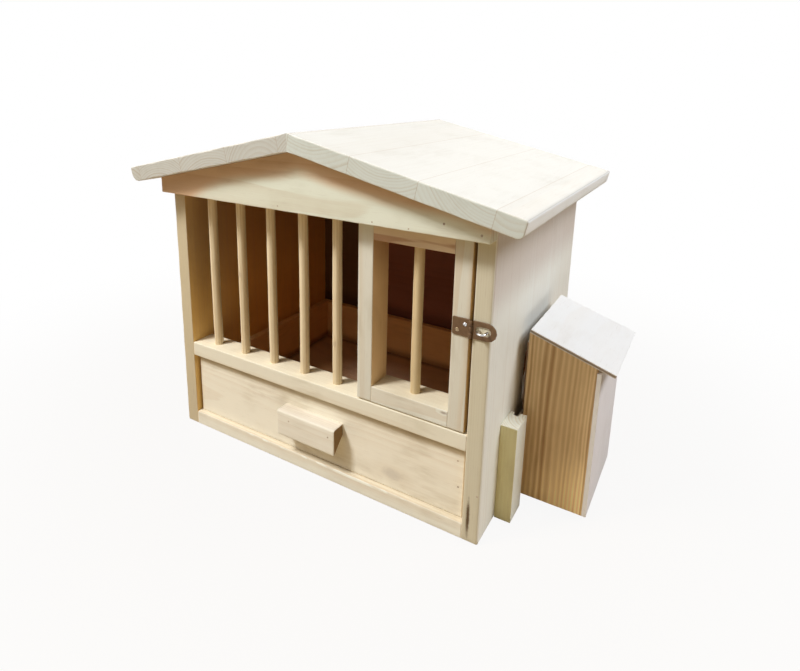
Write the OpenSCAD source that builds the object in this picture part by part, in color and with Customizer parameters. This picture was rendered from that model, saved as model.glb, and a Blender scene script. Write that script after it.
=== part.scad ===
// Wooden bird cage with a pitched roof, a barred front, a pin-hung door,
// a soil drawer and an outside feeder that slides on grooved battens.
// Millimetres, front at -Y, +Z up, origin under the middle of the body.

/* [Body] */
// Width of the body over the side walls
body_w = 420; // [380:5:520]
// Depth of the body from the wall fronts to the rear
body_d = 306; // [290:2:400]
// Height of the side walls at their outer faces
wall_h = 336; // [300:1:400]
// Thickness of the pine boards
board = 18; // [16:0.5:20]

/* [Roof] */
// Pitch of the two roof panels in degrees
roof_pitch = 12.6; // [8:0.1:20]
// Overhang of the eaves beyond the side walls
eave_over = 36.5; // [20:0.5:50]
// Overhang of the roof in front of the walls
front_over = 33; // [24:1:50]
// Overhang of the roof behind the rear wall
rear_over = 9; // [0:1:30]
// Radius of the eaves' lower edges, rounded by hand
eave_r = 7.5; // [2:0.5:10]
// Radius of the eaves' upper edges, only broken
eave_top_r = 2.5; // [1:0.5:5]
// Height of the gable board's short upright ends
gable_end = 18; // [18:0.5:40]

/* [Front frame] */
// Narrow side of the batten stock
slat = 18; // [16:0.5:20]
// Wide side of the batten stock
stock = 32; // [28:1:36]
// Height of the middle rail's underside
rail_z = 100; // [96:1:120]
// Diameter of the round bars
bar_d = 11; // [8:0.5:12]
// Distance from the left wall to the first bar
bar_first = 31; // [25:1:40]
// Distance from the last bar to the door
bar_last = 37; // [26:1:44]
// Depth of the bars in their rails
bar_sink = 10; // [6:1:12]
// Radial clearance of a seated bar or pin
seat_fit = 0.05; // [0.02:0.01:0.1]

/* [Door] */
// Width of the door over its stiles
door_w = 124.5; // [100:0.5:126]
// Gap between the door and the right wall
door_side_gap = 3.5; // [3:0.25:5]
// Gap above and below the door
door_gap = 1.5; // [1:0.25:3]
// Diameter of the two door pins
pin_d = 3; // [2:0.25:5]
// Depth of the door pins in the rails
pin_sink = 12; // [6:1:15]
// Depth of the door pins in the stile
pin_reach = 20; // [12:1:30]
// Radial running clearance of the pins
pin_fit = 0.08; // [0.03:0.01:0.1]

/* [Hasp] */
// Height of the hasp's middle above the middle rail
hasp_up = 112; // [60:1:140]
// Height of the hasp's leaves
hasp_h = 18; // [15:0.5:24]
// Thickness of the hasp's metal
hasp_t = 1.2; // [0.8:0.1:1.6]
// Length of the leaf that is screwed to the stile
plate_l = 17; // [12:0.5:17.5]
// Length of the slotted leaf from the knuckle to its round end
leaf_l = 25.5; // [24:0.5:34]
// Outer radius of the knuckle
knuckle_r = 2; // [1.8:0.1:2.6]
// Diameter of the knuckle's pin
hasp_pin_d = 1.8; // [1.4:0.1:2]
// Gap between the hasp's own moving faces
hasp_gap = 0.3; // [0.2:0.05:0.5]
// Length of the slot
slot_l = 15; // [14:0.5:16]
// Height of the slot
slot_h = 8.5; // [7:0.5:10]
// Distance from the knuckle to the slot's middle
slot_off = 12.2; // [11.5:0.1:13]
// Distance between the legs of the staple
staple_w = 8; // [7:0.25:8.5]
// Wire diameter of the staple
staple_wire = 2.2; // [1.6:0.1:2.4]
// Straight part of the staple in front of the wall
staple_out = 5; // [4:0.5:6]
// Depth of the staple in the wall
staple_sink = 10; // [5:1:16]

/* [Drawer] */
// Set-back of the drawer behind the wall fronts
drawer_set = 7; // [3:0.5:12]
// Gap between the drawer and each wall
drawer_side_gap = 3; // [2:0.5:5]
// Gap between the drawer front and the middle rail
drawer_top_gap = 2.5; // [2:0.5:5]
// Gap between the drawer and the rear wall
drawer_rear_gap = 2; // [1:0.5:10]
// Running gap between the drawer and the base
drawer_run = 0.3; // [0.2:0.1:1]
// Thickness of the drawer's sides and rear
drawer_wall = 10; // [8:0.5:14]
// Height of the drawer's sides and rear
drawer_h = 70; // [50:1:74]
// Thickness of the drawer's bottom
drawer_floor_t = 6; // [4:0.5:8]
// Height of the drawer's bottom above the lower edge of its sides
drawer_floor_up = 3; // [1:0.5:6]
// Width of the handle block
handle_w = 82; // [60:1:120]
// Height of the handle block's front face
handle_h = 33; // [24:1:36]
// Depth of the handle block
handle_d = 18; // [14:1:22]
// Height of the handle block's lower edge above the drawer front's lower edge
handle_up = 24; // [14:1:36]
// Height of the handle block where it meets the drawer
handle_back = 14; // [8:1:20]

/* [Feeder] */
// Height of the two grooved guide battens
guide_h = 111; // [100:1:140]
// Length of the feeder box along the wall
feeder_l = 124; // [110:2:150]
// Space between the feeder box and each guide batten
feeder_gap = 12; // [8:1:16]
// Depth of the feeder box beyond its back plate
feeder_out = 75; // [60:1:110]
// Height of the feeder's side panels at the wall
feeder_h = 193; // [185:1:230]
// Slope of the feeder's lid in degrees
lid_pitch = 17.7; // [10:0.1:24]
// Thickness of the feeder's lid
lid_t = 4; // [3:0.5:6]
// Overhang of the lid beyond the outer plate
lid_over = 12.5; // [6:0.5:20]
// Thickness of the feeder's side panels
feeder_side_t = 8; // [6:0.5:12]
// Thickness of the feeder's outer plate
feeder_face_t = 4.5; // [3:0.5:6]
// Gap between the outer plate and the lid
face_gap = 3; // [1:0.5:5]
// Thickness of the feeder's back plate
back_t = 5.4; // [4:0.2:6]
// Height of the feeder's back plate above its opening
back_band = 20; // [8:1:24]
// Amount that the back plate's upper part stands in from the side panels
back_in = 14; // [2:0.5:18]
// Clearance of the back plate in the grooves
groove_fit = 0.3; // [0.2:0.05:0.6]
// Distance of the grooves from the wall
groove_off = 4.5; // [3:0.5:6]
// Depth of the grooves
groove_d = 6; // [4:0.5:8]
// Height of the grooves' blind ends
groove_end = 6; // [4:0.5:12]
// Drop of the back plate's ears below the top of the battens
ear_drop = 10; // [4:1:20]
// Width of the feeding opening
feed_w = 70; // [50:1:80]
// Height of the feeding opening
feed_h = 60; // [40:1:70]
// Height of the feeding opening's sill
feed_z = 102; // [102:1:115]
// Corner radius of the feeding opening
feed_r = 8; // [3:1:12]
// Thickness of the feeder's tray
tray_t = 6; // [4:0.5:10]
// Drop of the tray below the sill
tray_drop = 2; // [1:0.5:8]

/* [Hidden] */
$fn = 64;
pine = [0.86, 0.75, 0.57];
pale = [0.91, 0.83, 0.68];
larch = [0.66, 0.47, 0.28];
ply = [0.80, 0.72, 0.62];
bronze = [0.38, 0.29, 0.20];
steel = [0.72, 0.72, 0.74];

half_w = body_w / 2;
in_x = half_w - board;
front_y = -body_d / 2;
rear_y = body_d / 2;
slope = tan(roof_pitch);
ridge_z = wall_h + half_w * slope;
frame_y = front_y + stock;
mid_y = front_y + stock / 2;
rail_top = rail_z + slat;
gable_low = wall_h - gable_end;

door_x1 = in_x - door_side_gap;
door_x0 = door_x1 - door_w;
door_z0 = rail_top + door_gap;
door_z1 = gable_low - door_gap;
hinge_x = door_x0 + slat / 2;
door_mid = (door_x0 + door_x1) / 2;
bar_pitch = (door_x0 - bar_last + in_x - bar_first) / 4;

hasp_x = door_x1 + door_side_gap / 2;
hasp_y = front_y - hasp_gap - knuckle_r;
hasp_z = rail_top + hasp_up;
slot_x = hasp_x + slot_off;

drawer_y = front_y + drawer_set;
drawer_z = board + drawer_run;
drawer_x = in_x - drawer_side_gap;
drawer_rear = rear_y - board - drawer_rear_gap;

groove_x = half_w + groove_off;
tongue_x = groove_x + groove_fit;
box_x = tongue_x + back_t;
face_x = box_x + feeder_out - feeder_face_t;
box_z = groove_end + groove_fit;
box_y = feeder_l / 2;
guide_y = box_y + feeder_gap;
ear_z = guide_h - ear_drop;

// Height of the roof's underside at x
function under(x) = wall_h + (half_w - abs(x)) * slope;
// Height of the feeder's sloping top at x
function lid_z(x) = box_z + feeder_h - (x - box_x) * tan(lid_pitch);

// A block between pairs of limits
module block(x, y, z) {
    translate([x[0], y[0], z[0]])
        cube([x[1] - x[0], y[1] - y[0], z[1] - z[0]]);
}

// An XZ outline drawn out along Y
module along_y(y0, y1) {
    translate([0, y1, 0])
        rotate([90, 0, 0])
            linear_extrude(y1 - y0)
                children();
}

// A YZ outline drawn out along X
module along_x(x0, x1) {
    translate([x0, 0, 0])
        rotate([90, 0, 90])
            linear_extrude(x1 - x0)
                children();
}

// A round rod standing between two heights
module rod(d, x, y, z0, z1) {
    translate([x, y, z0])
        cylinder(d = d, h = z1 - z0);
}

// A rectangle with round corners, centred in its width
module round_window(w, h, r) {
    translate([-w / 2 + r, 0])
        square([w - 2 * r, h]);
    translate([-w / 2, r])
        square([w, h - 2 * r]);
    for (x = [-1, 1], z = [r, h - r])
        translate([x * (w / 2 - r), z])
            circle(r = r);
}

function bar_x(i) = -in_x + bar_first + i * bar_pitch;

// The five bars' sockets in a rail
module bar_sockets(z0, z1) {
    for (i = [0 : 4])
        rod(bar_d + 2 * seat_fit, bar_x(i), mid_y, z0, z1);
}

module wall_left() {
    color(pine)
        along_y(front_y, rear_y)
            polygon([[-half_w, 0], [-in_x, 0], [-in_x, under(in_x)], [-half_w, wall_h]]);
}

module wall_right() {
    color(pine)
        difference() {
            along_y(front_y, rear_y)
                polygon([[half_w, 0], [in_x, 0], [in_x, under(in_x)], [half_w, wall_h]]);
            along_x(in_x - 1, half_w + 1)
                translate([0, feed_z])
                    round_window(feed_w, feed_h, feed_r);
            for (s = [-1, 1])
                translate([slot_x + s * staple_w / 2, front_y + staple_sink, hasp_z])
                    rotate([90, 0, 0])
                        cylinder(d = staple_wire + 2 * seat_fit, h = staple_sink + 1);
        }
}

module base_board() {
    color(pine)
        block([-in_x, in_x], [front_y, rear_y - board], [0, board]);
}

module rear_wall() {
    color(pine)
        along_y(rear_y - board, rear_y)
            polygon([[-in_x, 0], [in_x, 0], [in_x, under(in_x)], [0, ridge_z], [-in_x, under(in_x)]]);
}

module middle_rail() {
    color(pale)
        difference() {
            block([-in_x, in_x], [front_y, frame_y], [rail_z, rail_top]);
            bar_sockets(rail_top - bar_sink, rail_top + 1);
            rod(pin_d + 2 * seat_fit, hinge_x, mid_y, rail_top - pin_sink, rail_top + 1);
        }
}

module header_rail() {
    color(pale)
        difference() {
            block([-in_x, in_x], [front_y, frame_y], [gable_low, gable_low + slat]);
            bar_sockets(gable_low - 1, gable_low + bar_sink);
            rod(pin_d + 2 * seat_fit, hinge_x, mid_y, gable_low - 1, gable_low + pin_sink);
        }
}

module gable_board() {
    color(pine)
        along_y(front_y - board, front_y)
            polygon([[-half_w, gable_low], [half_w, gable_low], [half_w, wall_h],
                [0, ridge_z], [-half_w, wall_h]]);
}

// One roof panel, mitred at the ridge and rounded at the eave
module roof_panel() {
    len = (half_w + eave_over - board * sin(roof_pitch)) / cos(roof_pitch);
    along_y(front_y - front_over, rear_y + rear_over)
        translate([0, ridge_z])
            rotate(-roof_pitch) {
                polygon([[0, 0], [len - eave_r, 0], [len, eave_r], [len, board - eave_top_r],
                    [len - eave_top_r, board], [-board * slope, board]]);
                translate([len - eave_r, eave_r])
                    circle(r = eave_r);
                translate([len - eave_top_r, board - eave_top_r])
                    circle(r = eave_top_r);
            }
}

module roof_left() {
    color(pale)
        mirror([1, 0, 0])
            roof_panel();
}

module roof_right() {
    color(pale)
        roof_panel();
}

// One front bar, seated in both rails
module front_bar(i) {
    color(pale)
        rod(bar_d, bar_x(i), mid_y, rail_top - bar_sink, gable_low + bar_sink);
}

module bar_1() { front_bar(0); }
module bar_2() { front_bar(1); }
module bar_3() { front_bar(2); }
module bar_4() { front_bar(3); }
module bar_5() { front_bar(4); }

module door_stile_left() {
    bore = pin_d + 2 * pin_fit;
    color(pine)
        difference() {
            block([door_x0, door_x0 + slat], [front_y, frame_y], [door_z0, door_z1]);
            rod(bore, hinge_x, mid_y, door_z0 - 1, door_z0 + pin_reach + hasp_gap);
            rod(bore, hinge_x, mid_y, door_z1 - pin_reach - hasp_gap, door_z1 + 1);
        }
}

module door_stile_right() {
    color(pine)
        block([door_x1 - slat, door_x1], [front_y, frame_y], [door_z0, door_z1]);
}

module door_rail_top() {
    color(pine)
        difference() {
            block([door_x0 + slat, door_x1 - slat], [front_y, frame_y], [door_z1 - slat, door_z1]);
            rod(bar_d + 2 * seat_fit, door_mid, mid_y, door_z1 - slat - 1, door_z1 - slat + bar_sink);
        }
}

module door_rail_bottom() {
    color(pine)
        difference() {
            block([door_x0 + slat, door_x1 - slat], [front_y, frame_y], [door_z0, door_z0 + slat]);
            rod(bar_d + 2 * seat_fit, door_mid, mid_y, door_z0 + slat - bar_sink, door_z0 + slat + 1);
        }
}

module door_bar() {
    color(pale)
        rod(bar_d, door_mid, mid_y, door_z0 + slat - bar_sink, door_z1 - slat + bar_sink);
}

module door_pin_lower() {
    color(steel)
        rod(pin_d, hinge_x, mid_y, rail_top - pin_sink, door_z0 + pin_reach);
}

module door_pin_upper() {
    color(steel)
        rod(pin_d, hinge_x, mid_y, door_z1 - pin_reach, gable_low + pin_sink);
}

// Height of one of the three knuckles, and of the joint between two of them
knuckle_h = (hasp_h - 2 * hasp_gap) / 3;

// One knuckle of the hasp with the web that joins it to its leaf
module knuckle(z0, side, bore) {
    difference() {
        union() {
            rod(2 * knuckle_r, hasp_x, hasp_y, z0, z0 + knuckle_h);
            translate([side > 0 ? hasp_x : hasp_x - knuckle_r - 1, front_y - hasp_gap - hasp_t, z0])
                cube([knuckle_r + 1, hasp_t, knuckle_h]);
        }
        rod(bore, hasp_x, hasp_y, z0 - 1, z0 + knuckle_h + 1);
    }
}

module hasp_plate() {
    color(bronze) {
        block([door_x1 - plate_l, hasp_x - knuckle_r - hasp_gap], [front_y - hasp_t, front_y],
            [hasp_z - hasp_h / 2, hasp_z + hasp_h / 2]);
        for (z = [hasp_z - hasp_h / 2, hasp_z + hasp_h / 2 - knuckle_h])
            knuckle(z, -1, hasp_pin_d + 2 * seat_fit);
    }
}

module hasp_pin() {
    color(bronze)
        rod(hasp_pin_d, hasp_x, hasp_y, hasp_z - hasp_h / 2, hasp_z + hasp_h / 2);
}

module hasp_leaf() {
    r = hasp_h / 2;
    color(bronze) {
        along_y(front_y - hasp_gap - hasp_t, front_y - hasp_gap)
            difference() {
                union() {
                    translate([hasp_x + knuckle_r + hasp_gap, hasp_z - r])
                        square([leaf_l - r - knuckle_r - hasp_gap, hasp_h]);
                    translate([hasp_x + leaf_l - r, hasp_z])
                        circle(r = r);
                }
                translate([slot_x - slot_l / 2 + slot_h / 2, hasp_z - slot_h / 2])
                    square([slot_l - slot_h, slot_h]);
                for (s = [-1, 1])
                    translate([slot_x + s * (slot_l - slot_h) / 2, hasp_z])
                        circle(d = slot_h);
            }
        knuckle(hasp_z - knuckle_h / 2, 1, hasp_pin_d + 2 * pin_fit);
    }
}

module staple() {
    color(bronze) {
        for (s = [-1, 1])
            translate([slot_x + s * staple_w / 2, front_y + staple_sink, hasp_z])
                rotate([90, 0, 0])
                    cylinder(d = staple_wire, h = staple_sink + staple_out);
        translate([slot_x, front_y - staple_out, hasp_z])
            rotate([0, 0, 180])
                rotate_extrude(angle = 180)
                    translate([staple_w / 2, 0])
                        circle(d = staple_wire);
    }
}

module drawer_front() {
    color(pine)
        block([-drawer_x, drawer_x], [drawer_y, drawer_y + board], [drawer_z, rail_z - drawer_top_gap]);
}

module drawer_side_left() {
    color(pine)
        block([-drawer_x, -drawer_x + drawer_wall], [drawer_y + board, drawer_rear],
            [drawer_z, drawer_z + drawer_h]);
}

module drawer_side_right() {
    color(pine)
        block([drawer_x - drawer_wall, drawer_x], [drawer_y + board, drawer_rear],
            [drawer_z, drawer_z + drawer_h]);
}

module drawer_rear_board() {
    color(pine)
        block([-drawer_x + drawer_wall, drawer_x - drawer_wall], [drawer_rear - drawer_wall, drawer_rear],
            [drawer_z, drawer_z + drawer_h]);
}

module drawer_floor() {
    z = drawer_z + drawer_floor_up;
    color(ply)
        block([-drawer_x + drawer_wall, drawer_x - drawer_wall],
            [drawer_y + board, drawer_rear - drawer_wall], [z, z + drawer_floor_t]);
}

module drawer_handle() {
    z = drawer_z + handle_up;
    color(pale)
        along_x(-handle_w / 2, handle_w / 2)
            polygon([[drawer_y, z + handle_h], [drawer_y - handle_d, z + handle_h],
                [drawer_y - handle_d, z], [drawer_y, z + handle_h - handle_back]]);
}

// One guide batten with its groove, at the front for side -1 and at the rear for side 1
module guide(side) {
    color(pine)
        difference() {
            block([half_w, half_w + slat], side > 0 ? [guide_y, guide_y + stock] : [-guide_y - stock, -guide_y],
                [0, guide_h]);
            block([groove_x, groove_x + back_t + 2 * groove_fit],
                side > 0 ? [guide_y - 1, guide_y + groove_d] : [-guide_y - groove_d, -guide_y + 1],
                [groove_end, guide_h + 1]);
        }
}

module guide_front() { guide(-1); }
module guide_rear() { guide(1); }

module feeder_back() {
    ear = guide_y + groove_d - 2 * groove_fit;
    top = feed_z + feed_h + back_band;
    color(ply)
        along_x(tongue_x, tongue_x + back_t)
            difference() {
                union() {
                    translate([-ear, box_z])
                        square([2 * ear, ear_z - box_z]);
                    translate([-box_y + back_in, box_z])
                        square([2 * (box_y - back_in), top - box_z]);
                }
                translate([0, feed_z])
                    round_window(feed_w, feed_h, feed_r);
            }
}

// One side panel of the feeder from its lower y
module feeder_side(y) {
    color(larch)
        along_y(y, y + feeder_side_t)
            polygon([[box_x, box_z], [face_x, box_z], [face_x, lid_z(face_x)], [box_x, lid_z(box_x)]]);
}

module feeder_side_front() { feeder_side(-box_y); }
module feeder_side_rear() { feeder_side(box_y - feeder_side_t); }

module feeder_face() {
    top = lid_z(face_x + feeder_face_t) - face_gap;
    color(ply)
        block([face_x, face_x + feeder_face_t], [-box_y, box_y], [box_z, top]);
}

module feeder_tray() {
    z = feed_z - tray_drop;
    color(ply)
        block([box_x, face_x], [-box_y + feeder_side_t, box_y - feeder_side_t], [z - tray_t, z]);
}

module feeder_lid() {
    color(pale)
        along_y(-box_y, box_y)
            translate([box_x, lid_z(box_x)])
                rotate(-lid_pitch)
                    square([(feeder_out + lid_over) / cos(lid_pitch), lid_t]);
}

wall_left();
wall_right();
base_board();
rear_wall();
middle_rail();
header_rail();
gable_board();
roof_left();
roof_right();
bar_1();
bar_2();
bar_3();
bar_4();
bar_5();
door_stile_left();
door_stile_right();
door_rail_top();
door_rail_bottom();
door_bar();
door_pin_lower();
door_pin_upper();
hasp_plate();
hasp_pin();
hasp_leaf();
staple();
drawer_front();
drawer_side_left();
drawer_side_right();
drawer_rear_board();
drawer_floor();
drawer_handle();
guide_front();
guide_rear();
feeder_back();
feeder_side_front();
feeder_side_rear();
feeder_face();
feeder_tray();
feeder_lid();
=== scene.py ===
# %% [markdown]
# A wooden bird cage with a pitched roof, a barred front, a pin-hung door, a soil drawer and a feeder box.
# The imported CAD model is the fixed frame. Its boards could be kept and only painted, but a real board has
# eased edges and grain that turns the corner. So every board that shows is laid again as a slightly
# uneven surface worked out with numpy, and every finish is a solid 3-D pine that the board's own faces
# cut open: the rings on an end and the grain on a face belong to the same log.

# %% Load the frame
import math

import bpy
import numpy as np
from mathutils import Euler, Matrix, Vector
from mathutils.geometry import tessellate_polygon


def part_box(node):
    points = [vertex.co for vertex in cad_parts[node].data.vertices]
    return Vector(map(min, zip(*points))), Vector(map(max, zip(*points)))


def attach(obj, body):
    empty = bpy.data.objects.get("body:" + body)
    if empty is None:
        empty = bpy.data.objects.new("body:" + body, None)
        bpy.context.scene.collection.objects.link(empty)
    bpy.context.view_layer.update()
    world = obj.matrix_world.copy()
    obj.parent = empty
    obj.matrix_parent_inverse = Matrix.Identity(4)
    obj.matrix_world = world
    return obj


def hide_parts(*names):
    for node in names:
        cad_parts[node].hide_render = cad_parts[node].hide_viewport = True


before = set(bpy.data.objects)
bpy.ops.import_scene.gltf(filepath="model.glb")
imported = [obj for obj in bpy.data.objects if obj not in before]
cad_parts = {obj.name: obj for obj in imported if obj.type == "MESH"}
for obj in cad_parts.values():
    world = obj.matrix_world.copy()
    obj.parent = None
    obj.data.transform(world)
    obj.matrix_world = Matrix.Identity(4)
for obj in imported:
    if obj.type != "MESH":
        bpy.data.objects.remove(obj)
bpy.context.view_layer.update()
scene = bpy.context.scene
MM = 0.001

# %% [markdown]
# The camera stands a little above the eaves and to the right of the door, close to the cage: the near
# corner looks large and the far wall small. It could be aimed by hand, but its place was fitted to the
# straight edges of the picture, so its turn is given as three rows: to the right of the picture, down it,
# and into it. The middle of the lens doesn't fall on the middle of the frame, and the shift makes up for
# that.

# %% Camera
FRAME_W, FRAME_H = 800.0, 671.0
LENS_PX, MIDDLE_X, MIDDLE_Y = 574.673, 380.72, 222.372
SENSOR = 36.0
STAND = np.array([0.37235, -0.62388, 0.44777])
to_right = np.array([0.855439, 0.517600, 0.017730])
to_ground = np.array([0.134188, -0.188447, -0.972873])
to_cage = np.array([-0.500217, 0.834613, -0.230661])
lens = bpy.data.cameras.new("camera")
lens.sensor_fit = "HORIZONTAL"
lens.sensor_width = SENSOR
lens.lens = LENS_PX / FRAME_W * SENSOR
lens.shift_x = (FRAME_W / 2 - MIDDLE_X) / FRAME_W
lens.shift_y = (MIDDLE_Y - FRAME_H / 2) / FRAME_W
lens.clip_start, lens.clip_end = 0.02, 50.0
camera = bpy.data.objects.new("camera", lens)
scene.collection.objects.link(camera)
turn = np.eye(4)
turn[:3] = np.column_stack([to_right, -to_ground, -to_cage, STAND])
camera.matrix_world = Matrix(turn.tolist())
scene.camera = camera
print("camera: lens %.2f mm, shift %.4f %.4f" % (lens.lens, lens.shift_x, lens.shift_y))

# %% [markdown]
# Shader trees are easier to read as sums than as boxes and wires. These helpers put one node into a tree
# and fill its sockets in order, so that a finish further down reads like a formula. They could be wired
# one link at a time, as Blender's own scripts do, but then every sum takes four lines.

# %% Putting nodes
def fill(tree, socket, value):
    """Fill one input: another node's output is linked to it, a value is set, and None leaves it alone."""
    if isinstance(value, bpy.types.NodeSocket):
        tree.links.new(value, socket)
    elif value is not None:
        socket.default_value = value


def put(tree, kind, *sockets, **settings):
    """One shader node: settings are its properties, sockets its inputs in order (a value, or an output)."""
    node = tree.nodes.new("ShaderNode" + kind)
    for key, value in settings.items():
        setattr(node, key, value)
    for socket, value in zip(node.inputs, sockets):
        fill(tree, socket, value)
    return node


print("helpers that put nodes:", fill.__name__, put.__name__)


# %% Sums
def calc(tree, operation, *terms):
    """A Math node's result."""
    return put(tree, "Math", *terms, operation=operation).outputs[0]


def plus(tree, first, *terms):
    """A sum, one Add node after another."""
    for term in terms:
        first = calc(tree, "ADD", first, term)
    return first


def times(tree, first, *terms):
    """A product, one Multiply node after another."""
    for term in terms:
        first = calc(tree, "MULTIPLY", first, term)
    return first


def minus(tree, first, second):
    """A difference."""
    return calc(tree, "SUBTRACT", first, second)


def vec(tree, operation, *terms):
    """A Vector Math node's result: a vector, or a number for lengths and dot products."""
    node = put(tree, "VectorMath", *terms, operation=operation)
    return node.outputs["Value" if operation in ("LENGTH", "DOT_PRODUCT") else "Vector"]


def ramp(tree, value, a, b, low=0.0, high=1.0):
    """A smooth step from low, where value is a, to high, where value is b."""
    node = put(tree, "MapRange", value, a, b, low, high, interpolation_type="SMOOTHSTEP")
    return node.outputs["Result"]


def band(tree, value, a, b, c, d):
    """A mask that comes in from a to b and goes out from c to d."""
    return times(tree, ramp(tree, value, a, b), ramp(tree, value, d, c))


print("helpers for sums:", [f.__name__ for f in (calc, plus, times, minus, vec, ramp, band)])


# %% Noise and colour
def noise(tree, where, scale, detail=2.0, rough=0.5):
    """Soft noise between 0 and 1, and its colour. The scale is one number, or three that stretch it."""
    if isinstance(scale, tuple):
        where = vec(tree, "MULTIPLY", where, scale)
        scale = 1.0
    node = put(tree, "TexNoise", where, None, scale, detail, rough)
    return node.outputs["Fac"], node.outputs["Color"]


def blend(tree, share, a, b, how="MIX"):
    """Two colours mixed by a share."""
    node = put(tree, "Mix", data_type="RGBA", blend_type=how)
    for place, value in ((0, share), (6, a), (7, b)):
        fill(tree, node.inputs[place], value)
    return node.outputs[2]


print("helpers for noise and colour:", noise.__name__, blend.__name__)


# %% [markdown]
# The same log, the same fibres and the same wear show on every board of the cage. They could be copied
# from material to material. As node groups they are built once, and each board only fills in its own
# values.

# %% Effects as node groups
def socket_kind(value):
    """What a default value asks for: four numbers a colour, one a number, three or None a vector."""
    if isinstance(value, float):
        return "Float"
    return "Color" if value is not None and len(value) == 4 else "Vector"


def effect(name, inputs, outputs):
    """An empty node group: its tree, its given inputs to read and its outputs to fill (a blank is a _)."""
    tree = bpy.data.node_groups.new(name, "ShaderNodeTree")
    for key, value in inputs.items():
        kind = "NodeSocket" + socket_kind(value)
        socket = tree.interface.new_socket(key.replace("_", " "), in_out="INPUT", socket_type=kind)
        if value is not None:
            socket.default_value = value
    for key, kind in outputs.items():
        tree.interface.new_socket(key, in_out="OUTPUT", socket_type="NodeSocket" + kind)
    return tree, tree.nodes.new("NodeGroupInput").outputs, tree.nodes.new("NodeGroupOutput").inputs


def use(tree, group, **sockets):
    """One copy of an effect in a tree, with its sockets filled by name (a blank is written as _)."""
    node = tree.nodes.new("ShaderNodeGroup")
    node.node_tree = group
    for key, value in sockets.items():
        fill(tree, node.inputs[key.replace("_", " ")], value)
    return node.outputs


def moved_by_seed(tree, given, step):
    """The effect's Vector, moved by the step times its Seed: each seed is another place in the log."""
    return vec(tree, "ADD", given["Vector"], vec(tree, "SCALE", step, None, None, given["Seed"]))


print("helpers for effects:", [f.__name__ for f in (effect, use, moved_by_seed)])

# %% [markdown]
# Pine is a stack of cones. Across the log each year leaves a wide pale band and a narrow amber one with a
# hard outer edge. A wave pattern on each face could stand for it, but then ends and faces wouldn't meet.
# A board is a slice of the log, so one formula gives everything: the distance from the pith, bent by slow
# noise, is counted in years. Faces show it as flames and stripes, ends show it as arcs.

# %% Growth rings
rings, given, gives = effect(
    "growth_rings",
    dict(Vector=None, Pith=None, Year=3.0, Sway=6.0, Waver=1.3, Soft=0.0, Pull=0.0, Seed=0.0),
    dict(Late="Float", Slow="Float"))
seeded = moved_by_seed(rings, given, (91.0, 57.0, 410.0))
slow, slow_way = noise(rings, seeded, (0.011, 0.011, 0.0026))
small, _ = noise(rings, seeded, (0.09, 0.09, 0.010))
sway = vec(rings, "SCALE", vec(rings, "SUBTRACT", slow_way, (0.5, 0.5, 0.5)), None, None, given["Sway"])
bent = vec(rings, "ADD", vec(rings, "SUBTRACT", given["Vector"], given["Pith"]), sway)
reach = vec(rings, "LENGTH", vec(rings, "MULTIPLY", bent, (1.0, 1.0, 0.0)))
reach = plus(rings, reach, given["Pull"], times(rings, small, given["Waver"]))
years = calc(rings, "DIVIDE", reach, given["Year"])
years = plus(rings, years, calc(rings, "SINE", times(rings, years, 0.37)))
part = calc(rings, "FRACT", years)
hard = band(rings, part, 0.25, 0.90, 0.93, 1.0)
wave = minus(rings, 0.5, times(rings, calc(rings, "COSINE", times(rings, part, 2 * math.pi)), 0.5))
hard_share = minus(rings, 1.0, given["Soft"])
grown = plus(rings, times(rings, hard, hard_share), times(rings, wave, given["Soft"]))
year_number = plus(rings, calc(rings, "FLOOR", years), given["Seed"])
luck = put(rings, "TexWhiteNoise", None, year_number, noise_dimensions="1D").outputs["Value"]
fill(rings, gives["Late"], times(rings, grown, ramp(rings, luck, 0.0, 1.0, 0.35, 1.0)))
fill(rings, gives["Slow"], slow)
print("growth rings:", len(rings.nodes), "nodes")

# %% [markdown]
# The plane leaves fine fibres along the grain and opens resin ducts as short dark dashes. Thousands of
# small strokes could be drawn, but noise is cheaper: both are noise that is stretched along the log, one
# soft and one cut off near its peaks.

# %% Fibres and ducts
fibres, given, gives = effect("fibres", dict(Vector=None, Seed=0.0), dict(Fibre="Float", Duct="Float"))
seeded = moved_by_seed(fibres, given, (37.0, 23.0, 170.0))
soft, _ = noise(fibres, seeded, (0.85, 0.85, 0.016), 5.0, 0.62)
dash, _ = noise(fibres, seeded, (2.6, 2.6, 0.06), 1.0)
fill(fibres, gives["Fibre"], soft)
fill(fibres, gives["Duct"], ramp(fibres, dash, 0.68, 0.76))
print("fibres:", len(fibres.nodes), "nodes")

# %% [markdown]
# The roof and the walls are panels glued from narrow staves. Each stave could be a mesh of its own, but
# the planed panel is one flat surface. So the panel is cut into strips by its finish alone: a random
# number for each strip moves it to another place in the log, and a hair of dark glue stays along the
# strip's edges.

# %% Glued staves
staves, given, gives = effect("glued_staves", dict(Vector=None, Width=60.0, Seed=0.0),
                              dict(Vector="Vector", Shade="Float", Seam="Float"))
xyz = put(staves, "SeparateXYZ", given["Vector"]).outputs
strip = plus(staves, calc(staves, "DIVIDE", xyz[0], given["Width"]), times(staves, given["Seed"], 0.37))
number = calc(staves, "FLOOR", strip)
inside = minus(staves, calc(staves, "FRACT", strip), 0.5)
name_of_strip = put(staves, "CombineXYZ", number, given["Seed"], 0.5).outputs[0]
luck = put(staves, "TexWhiteNoise", name_of_strip, noise_dimensions="3D").outputs
moved = vec(staves, "SUBTRACT", luck["Color"], (0.5, 0.5, 0.5))
moved = vec(staves, "MULTIPLY", moved, (70.0, 60.0, 1500.0))
home = put(staves, "CombineXYZ", times(staves, inside, given["Width"]), xyz[1], xyz[2]).outputs[0]
fill(staves, gives["Vector"], vec(staves, "ADD", home, moved))
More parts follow.
